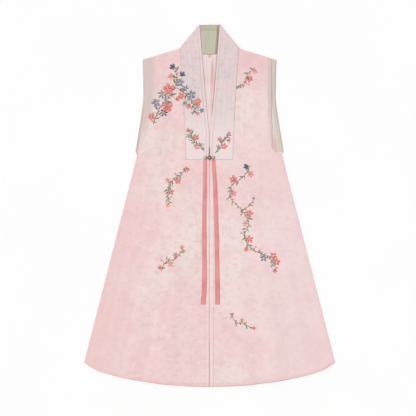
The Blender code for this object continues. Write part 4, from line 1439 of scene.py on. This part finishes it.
def half_blossom(x, y, radius, heading, thread, cup="sage"):
    """A flower seen from its side: three petals that fan from a green cup."""
    for open_angle, longer, fuller in ((-0.62, 1.0, 1.0), (0.62, 1.0, 1.0), (0.0, 1.15, 1.3)):
        lay("petal", x, y, heading + open_angle, radius * longer, radius * 0.58, PETAL_PUFF * fuller, thread)
    for open_angle in (-0.9, 0.9):
        lay("leaf", x, y, heading + open_angle, radius * 0.55, radius * 0.22, LEAF_PUFF * 1.4, cup, 0.0002)


def bud(x, y, radius, heading, thread, cup="sage"):
    """A closed bud in its cup."""
    lay("petal", x, y, heading, radius, radius * 0.72, PETAL_PUFF * 1.1, thread)
    root = (x - radius * 0.15 * math.cos(heading), y - radius * 0.15 * math.sin(heading))
    lay("leaf", *root, heading, radius * 0.55, radius * 0.34, LEAF_PUFF * 1.3, cup, 0.0003)


def rounded(points, count=14):
    """A smooth path through some points."""
    corners = [np.array(point, float) for point in points]
    corners = [2 * corners[0] - corners[1], *corners, 2 * corners[-1] - corners[-2]]
    path = []
    for before, start, end, after in zip(corners, corners[1:], corners[2:], corners[3:]):
        for share in np.arange(count) / count:
            bend = 2 * start + (end - before) * share + (2 * before - 5 * start + 4 * end - after) * share**2
            path.append((bend + (3 * start - before - 3 * end + after) * share**3) / 2)
    return path + [corners[-2]]


def spray(points, flowers, leaves, buds, sprouts=0):
    """A twig and what grows on it, each at a share of its length and a distance to its left, then its size.
    Sprouts are slender leaves, in pairs and single, that fill the twig at even steps. Lengths are in mm."""
    path = rounded(np.array(points) / 1000)
    twigs.append(path)
    runs = np.cumsum([0.0] + [float(np.hypot(*(b - a))) for a, b in zip(path, path[1:])])

    def grown(share, aside):
        n = int(np.clip(np.searchsorted(runs, share * runs[-1]), 1, len(path) - 1))
        way = (path[n] - path[n - 1]) / max(runs[n] - runs[n - 1], 1e-6)
        heading = math.atan2(way[1], way[0])
        left = np.array((-way[1], way[0]))
        place = path[n] + left * aside
        if abs(aside) > STALK_FROM:
            bend = path[n] + left * aside * 0.45 + way * 0.002
            stalks.append(rounded((path[max(0, n - 3)], bend, place), 8))
        return place[0], place[1], heading

    for share, aside, length, thread in leaves:
        x, y, heading = grown(share, 0.0)
        length = length / 1000
        lean = math.copysign(rng.uniform(0.55, 0.95), aside) if aside else 0.0
        away = abs(aside / 1000) * 0.35
        root_x, root_y = x + away * math.cos(heading + lean), y + away * math.sin(heading + lean)
        width = length * rng.uniform(0.30, 0.42)
        lay("leaf", root_x, root_y, heading + lean, length * 1.15, width, LEAF_PUFF, thread)
    for n in range(sprouts):
        x, y, heading = grown((n + rng.uniform(0.3, 0.9)) / sprouts, 0.0)
        lean = rng.uniform(0.45, 1.05) * (1 if n % 2 else -1)
        length = rng.uniform(0.0080, 0.0145)
        thread = rng.choice(GREENS)
        lay("leaf", x, y, heading + lean, length, length * rng.uniform(0.26, 0.40), LEAF_PUFF, thread)
        if n % PAIR_EVERY == 0:
            lay("leaf", x, y, heading - lean * 0.8, length * 0.8, length * 0.2, LEAF_PUFF, thread)
    for share, aside, radius, thread in buds:
        x, y, heading = grown(share, aside / 1000)
        bud(x, y, radius / 1000, heading + math.copysign(0.5, aside), thread)
    for kind, share, aside, radius, thread in flowers:
        x, y, heading = grown(share, aside / 1000)
        radius = radius / 1000
        if kind == "side":
            half_blossom(x, y, radius, heading + math.copysign(0.7, aside), thread)
        elif kind == "star":
            blossom(x, y, radius, thread, 6, 0.40, rng.uniform(0, 1), "amber")
        elif kind == "full":
            blossom(x, y, radius, thread, 5, 0.72, rng.uniform(0, 1), "cream", "rose")
        else:
            blossom(x, y, radius, thread, 5, 0.64, rng.uniform(0, 1))


# The shoulder spray climbs from the right armhole to the collar and sends one twig across the band.
spray(
    ((-176, 258), (-158, 304), (-128, 344), (-104, 390), (-108, 436)),
    (
        ("full", 0.34, -14, 18.5, "coral"), ("full", 0.58, 13, 19, "coral"),
        ("star", 0.46, 21, 15, "slate"), ("open", 0.76, -12, 14, "slate"),
        ("side", 0.97, 3, 15, "navy"), ("side", 0.12, 10, 10.5, "rose"),
        ("star", 0.86, 18, 12, "rose"), ("star", 0.22, -18, 13, "navy"),
        ("side", 0.66, -20, 14.5, "slate"), ("open", 0.08, 14, 11, "coral"),
        ("open", 0.30, 19, 14.5, "slate"), ("side", 0.84, -14, 15, "navy"),
        ("side", 0.52, -24, 13, "coral"),
    ),
    (
        (0.06, -6, 17, "teal"), (0.20, 10, 19, "teal"), (0.26, -10, 18, "sage"),
        (0.42, 10, 18, "sage"), (0.52, -10, 20, "teal"), (0.68, -8, 18, "teal"),
        (0.70, 12, 21, "sage"), (0.90, -8, 17, "slate"), (0.14, -12, 18, "sage"),
        (0.38, -12, 18, "teal"), (0.80, 10, 19, "teal"), (0.94, 10, 16, "slate"),
    ),
    ((0.16, -13, 6.5, "coral"), (0.01, 6, 6.5, "coral"), (0.28, 12, 6, "rose")),
    24,
)
spray(
    ((-98, 368), (-76, 352), (-54, 326), (-44, 292)),
    (
        ("open", 0.42, 11, 15.5, "slate"), ("side", 0.62, -12, 14, "coral"),
        ("side", 1.00, 3, 11, "rose"), ("star", 0.80, 12, 10, "slate"),
        ("open", 0.20, -12, 12.5, "coral"), ("star", 0.16, 13, 10.5, "navy"),
        ("full", 0.66, 16, 13, "coral"), ("side", 0.90, 18, 11.5, "slate"),
        ("side", 0.44, -18, 11, "slate"),
    ),
    (
        (0.30, -8, 16, "teal"), (0.55, 6, 15, "sage"), (0.86, -8, 16, "teal"),
        (0.24, 10, 17, "teal"), (0.70, -8, 15, "sage"),
    ),
    ((0.72, 18, 5.5, "coral"), (0.93, -10, 5.5, "coral"), (0.48, -20, 6, "rose")),
    14,
)
# Sprays rise from the clasp over the lower ends of both bands.
spray(
    ((-16, 172), (-30, 190), (-50, 206), (-60, 236)),
    (
        ("open", 0.36, 9, 10.5, "rose"), ("open", 0.66, -10, 11, "coral"),
        ("side", 1.00, 3, 11, "coral"), ("star", 0.82, 10, 8.5, "slate"),
    ),
    (
        (0.22, -6, 11, "teal"), (0.48, 6, 12, "sage"), (0.58, 8, 13, "teal"),
        (0.88, -6, 12, "teal"),
    ),
    ((0.20, -12, 5, "coral"), (0.50, -14, 5.5, "coral"), (0.78, 16, 5, "rose")),
    15,
)
spray(
    ((18, 166), (34, 184), (42, 206), (62, 222)),
    (
        ("open", 0.40, -10, 11, "coral"), ("star", 0.62, 10, 9.5, "rose"),
        ("side", 1.00, 3, 10.5, "rose"), ("side", 0.78, -10, 9.5, "coral"),
    ),
    (
        (0.16, 6, 11, "sage"), (0.50, 7, 13, "teal"), (0.56, -7, 12, "sage"),
        (0.84, 6, 12, "slate"),
    ),
    ((0.24, 11, 5, "coral"), (0.90, -10, 5, "coral")),
    13,
)
# The waist spray leans from the collar's right corner down and outwards.
spray(
    ((-74, 124), (-88, 100), (-118, 78), (-132, 40), (-126, 8)),
    (
        ("side", 0.00, 4, 12.5, "coral"), ("open", 0.34, 10, 12.5, "coral"),
        ("star", 0.50, -12, 10.5, "rose"), ("open", 0.72, 9, 11, "coral"),
        ("side", 1.00, -3, 11.5, "salmon"),
    ),
    (
        (0.14, -6, 13, "slate"), (0.22, 6, 13, "teal"), (0.44, 8, 15, "teal"),
        (0.58, 6, 14, "sage"), (0.66, -8, 15, "teal"), (0.88, -7, 13, "sage"),
    ),
    ((0.30, -12, 5.5, "coral"), (0.84, 11, 5.5, "coral")),
    18,
)
# The long spray winds down the left front from the waist towards the hem.
spray(
    (
        (128, 126), (108, 92), (72, 66), (66, 26), (100, -12), (124, -52),
        (110, -98), (136, -138), (184, -160), (210, -196),
    ),
    (
        ("side", 0.00, -4, 15, "navy"), ("star", 0.05, 13, 12, "rose"),
        ("open", 0.17, -11, 12.5, "coral"), ("open", 0.26, 11, 11, "rose"),
        ("open", 0.48, 12, 13, "coral"), ("star", 0.54, -12, 10, "rose"),
        ("open", 0.68, 13, 12.5, "coral"), ("side", 0.72, -10, 12, "coral"),
        ("open", 0.86, -11, 11.5, "slate"), ("open", 0.96, 11, 12.5, "coral"),
        ("side", 1.00, -4, 12, "coral"), ("open", 0.91, 14, 12, "coral"),
    ),
    (
        (0.09, -8, 13, "slate"), (0.14, 10, 15, "teal"), (0.21, -6, 13, "sage"),
        (0.23, 8, 14, "teal"), (0.33, -8, 13, "moss"), (0.42, 6, 12, "sage"),
        (0.50, 6, 14, "teal"), (0.58, -8, 14, "teal"), (0.64, 6, 13, "sage"),
        (0.70, -6, 13, "teal"), (0.80, 8, 12, "moss"), (0.92, 8, 14, "teal"),
        (0.95, -6, 14, "teal"),
    ),
    (
        (0.30, -12, 5.5, "coral"), (0.44, -10, 5.5, "coral"), (0.62, -12, 6, "rose"),
        (0.76, 12, 6, "coral"), (0.90, 14, 5.5, "coral"),
    ),
    44,
)
spray(
    ((102, -14), (126, 0), (140, 22)),
    (("side", 1.00, 3, 11, "lilac"),),
    ((0.50, -6, 11, "sage"), (0.90, 6, 12, "sage")),
    (),
    4,
)
# Small sprigs: one on the right skirt and one at the left shoulder.
spray(
    ((-152, -204), (-136, -176), (-106, -166), (-84, -138)),
    (
        ("side", 0.00, 4, 11.5, "coral"), ("open", 0.42, -10, 11, "salmon"),
        ("star", 0.70, 10, 9.5, "coral"), ("side", 1.00, 3, 12, "salmon"),
    ),
    ((0.20, -6, 13, "moss"), (0.34, 8, 14, "moss"), (0.56, 6, 13, "sage"), (0.86, -6, 12, "moss")),
    ((0.24, 14, 5.5, "coral"),),
    9,
)
spray(
    ((142, 434), (120, 414), (112, 386), (96, 372)),
    (("side", 0.00, 4, 12, "rose"), ("open", 0.52, 10, 11.5, "coral"), ("side", 1.00, -3, 11, "sage")),
    ((0.28, -8, 14, "teal"), (0.40, 8, 13, "navy"), (0.78, -8, 14, "moss")),
    ((0.70, 12, 5.5, "rose"),),
    7,
)
spray(
    ((64, -340), (84, -366), (110, -372), (134, -388)),
    (
        ("side", 0.00, 3, 8.5, "coral"), ("star", 0.55, 9, 9, "rose"),
        ("side", 1.00, 3, 9.5, "coral"),
    ),
    ((0.30, -6, 11, "sage"), (0.72, -6, 12, "teal"),),
    ((0.40, -10, 5, "rose"),),
    6,
)


def shape_tree():
    """Sets one stitched shape on each point, turned and sized by the numbers that the point carries."""
    inputs = (("Points", "Geometry"), ("Shape", "Object"), ("Thread", "Material"))
    tree, given, node = new_tree("stitched shapes", inputs)
    kind, vector = "GeometryNodeInputNamedAttribute", {"data_type": "FLOAT_VECTOR"}
    turn, size = (node(kind, vector, {"Name": name}) for name in ("turn", "size"))
    turned = node("FunctionNodeEulerToRotation", {}, {"Euler": turn})
    end_tree(node, given["Points"], given["Shape"], turned, size, given["Thread"])
    return tree


def satin_thread():
    """Glossy floss: the shape's own colour from root to tip, with its threads side by side as bumps and as
    stripes of painted sheen.
    """
    paint = Paint("embroidery floss", {"Specular IOR Level": 0.45, "Sheen Weight": 0.15})
    root, tip = paint.fact("root_colour", "Color"), paint.fact("tip_colour", "Color")
    ply = paint.ply()
    paint.colour = paint.mix(root, tip, paint.smooth(paint.fact("along"), 0.05, 0.85))
    # painted sheen: each thread's stripe is lightened towards the tip colour
    paint.colour = paint.mix(paint.colour, tip, ply * 0.18)
    return paint.finish(0.50 - ply * 0.12, ply, 0.00008)


motifs = {
    "petal": ("embroidery_petals", satin_shape("petal", petal_outline, 0.0)),
    "leaf": ("embroidery_leaves", satin_shape("leaf", leaf_outline, 1.0)),
    "knot": ("embroidery_knots", knot_shape()),
}
floss = satin_thread()
placing = shape_tree()
for kind, (name, motif) in motifs.items():
    places, *facts = zip(*shapes[kind])
    guide = bpy.data.meshes.new(f"{kind} places")
    guide.from_pydata(places, [], [])
    for fact, values in zip(("turn", "size", "root_colour", "tip_colour"), facts):
        coloured = fact.endswith("colour")
        values = np.array([(*value, 1.0) if coloured else tuple(value) for value in values], np.float32)
        layer = guide.attributes.new(fact, "FLOAT_COLOR" if coloured else "FLOAT_VECTOR", "POINT")
        layer.data.foreach_set("color" if coloured else "vector", values.ravel())
    worked(placing, name, guide, {"Shape": motif, "Thread": floss})

for name, courses, size, light, dark in (
    ("embroidery_twigs", twigs, TWIG_SIZE, (180, 136, 108), (132, 92, 70)),
    ("embroidery_stalks", stalks, STALK_SIZE, (136, 130, 92), (98, 94, 64)),
):
    face = embroidered_face
    sewn_paths(name, face, courses, "pink_silk", light, dark, TWIG_SPACING, size, TWIG_SLANT, TWIG_LIFT)
for helper in (stitch, *(motif for _, motif in motifs.values())):
    bpy.data.objects.remove(helper)
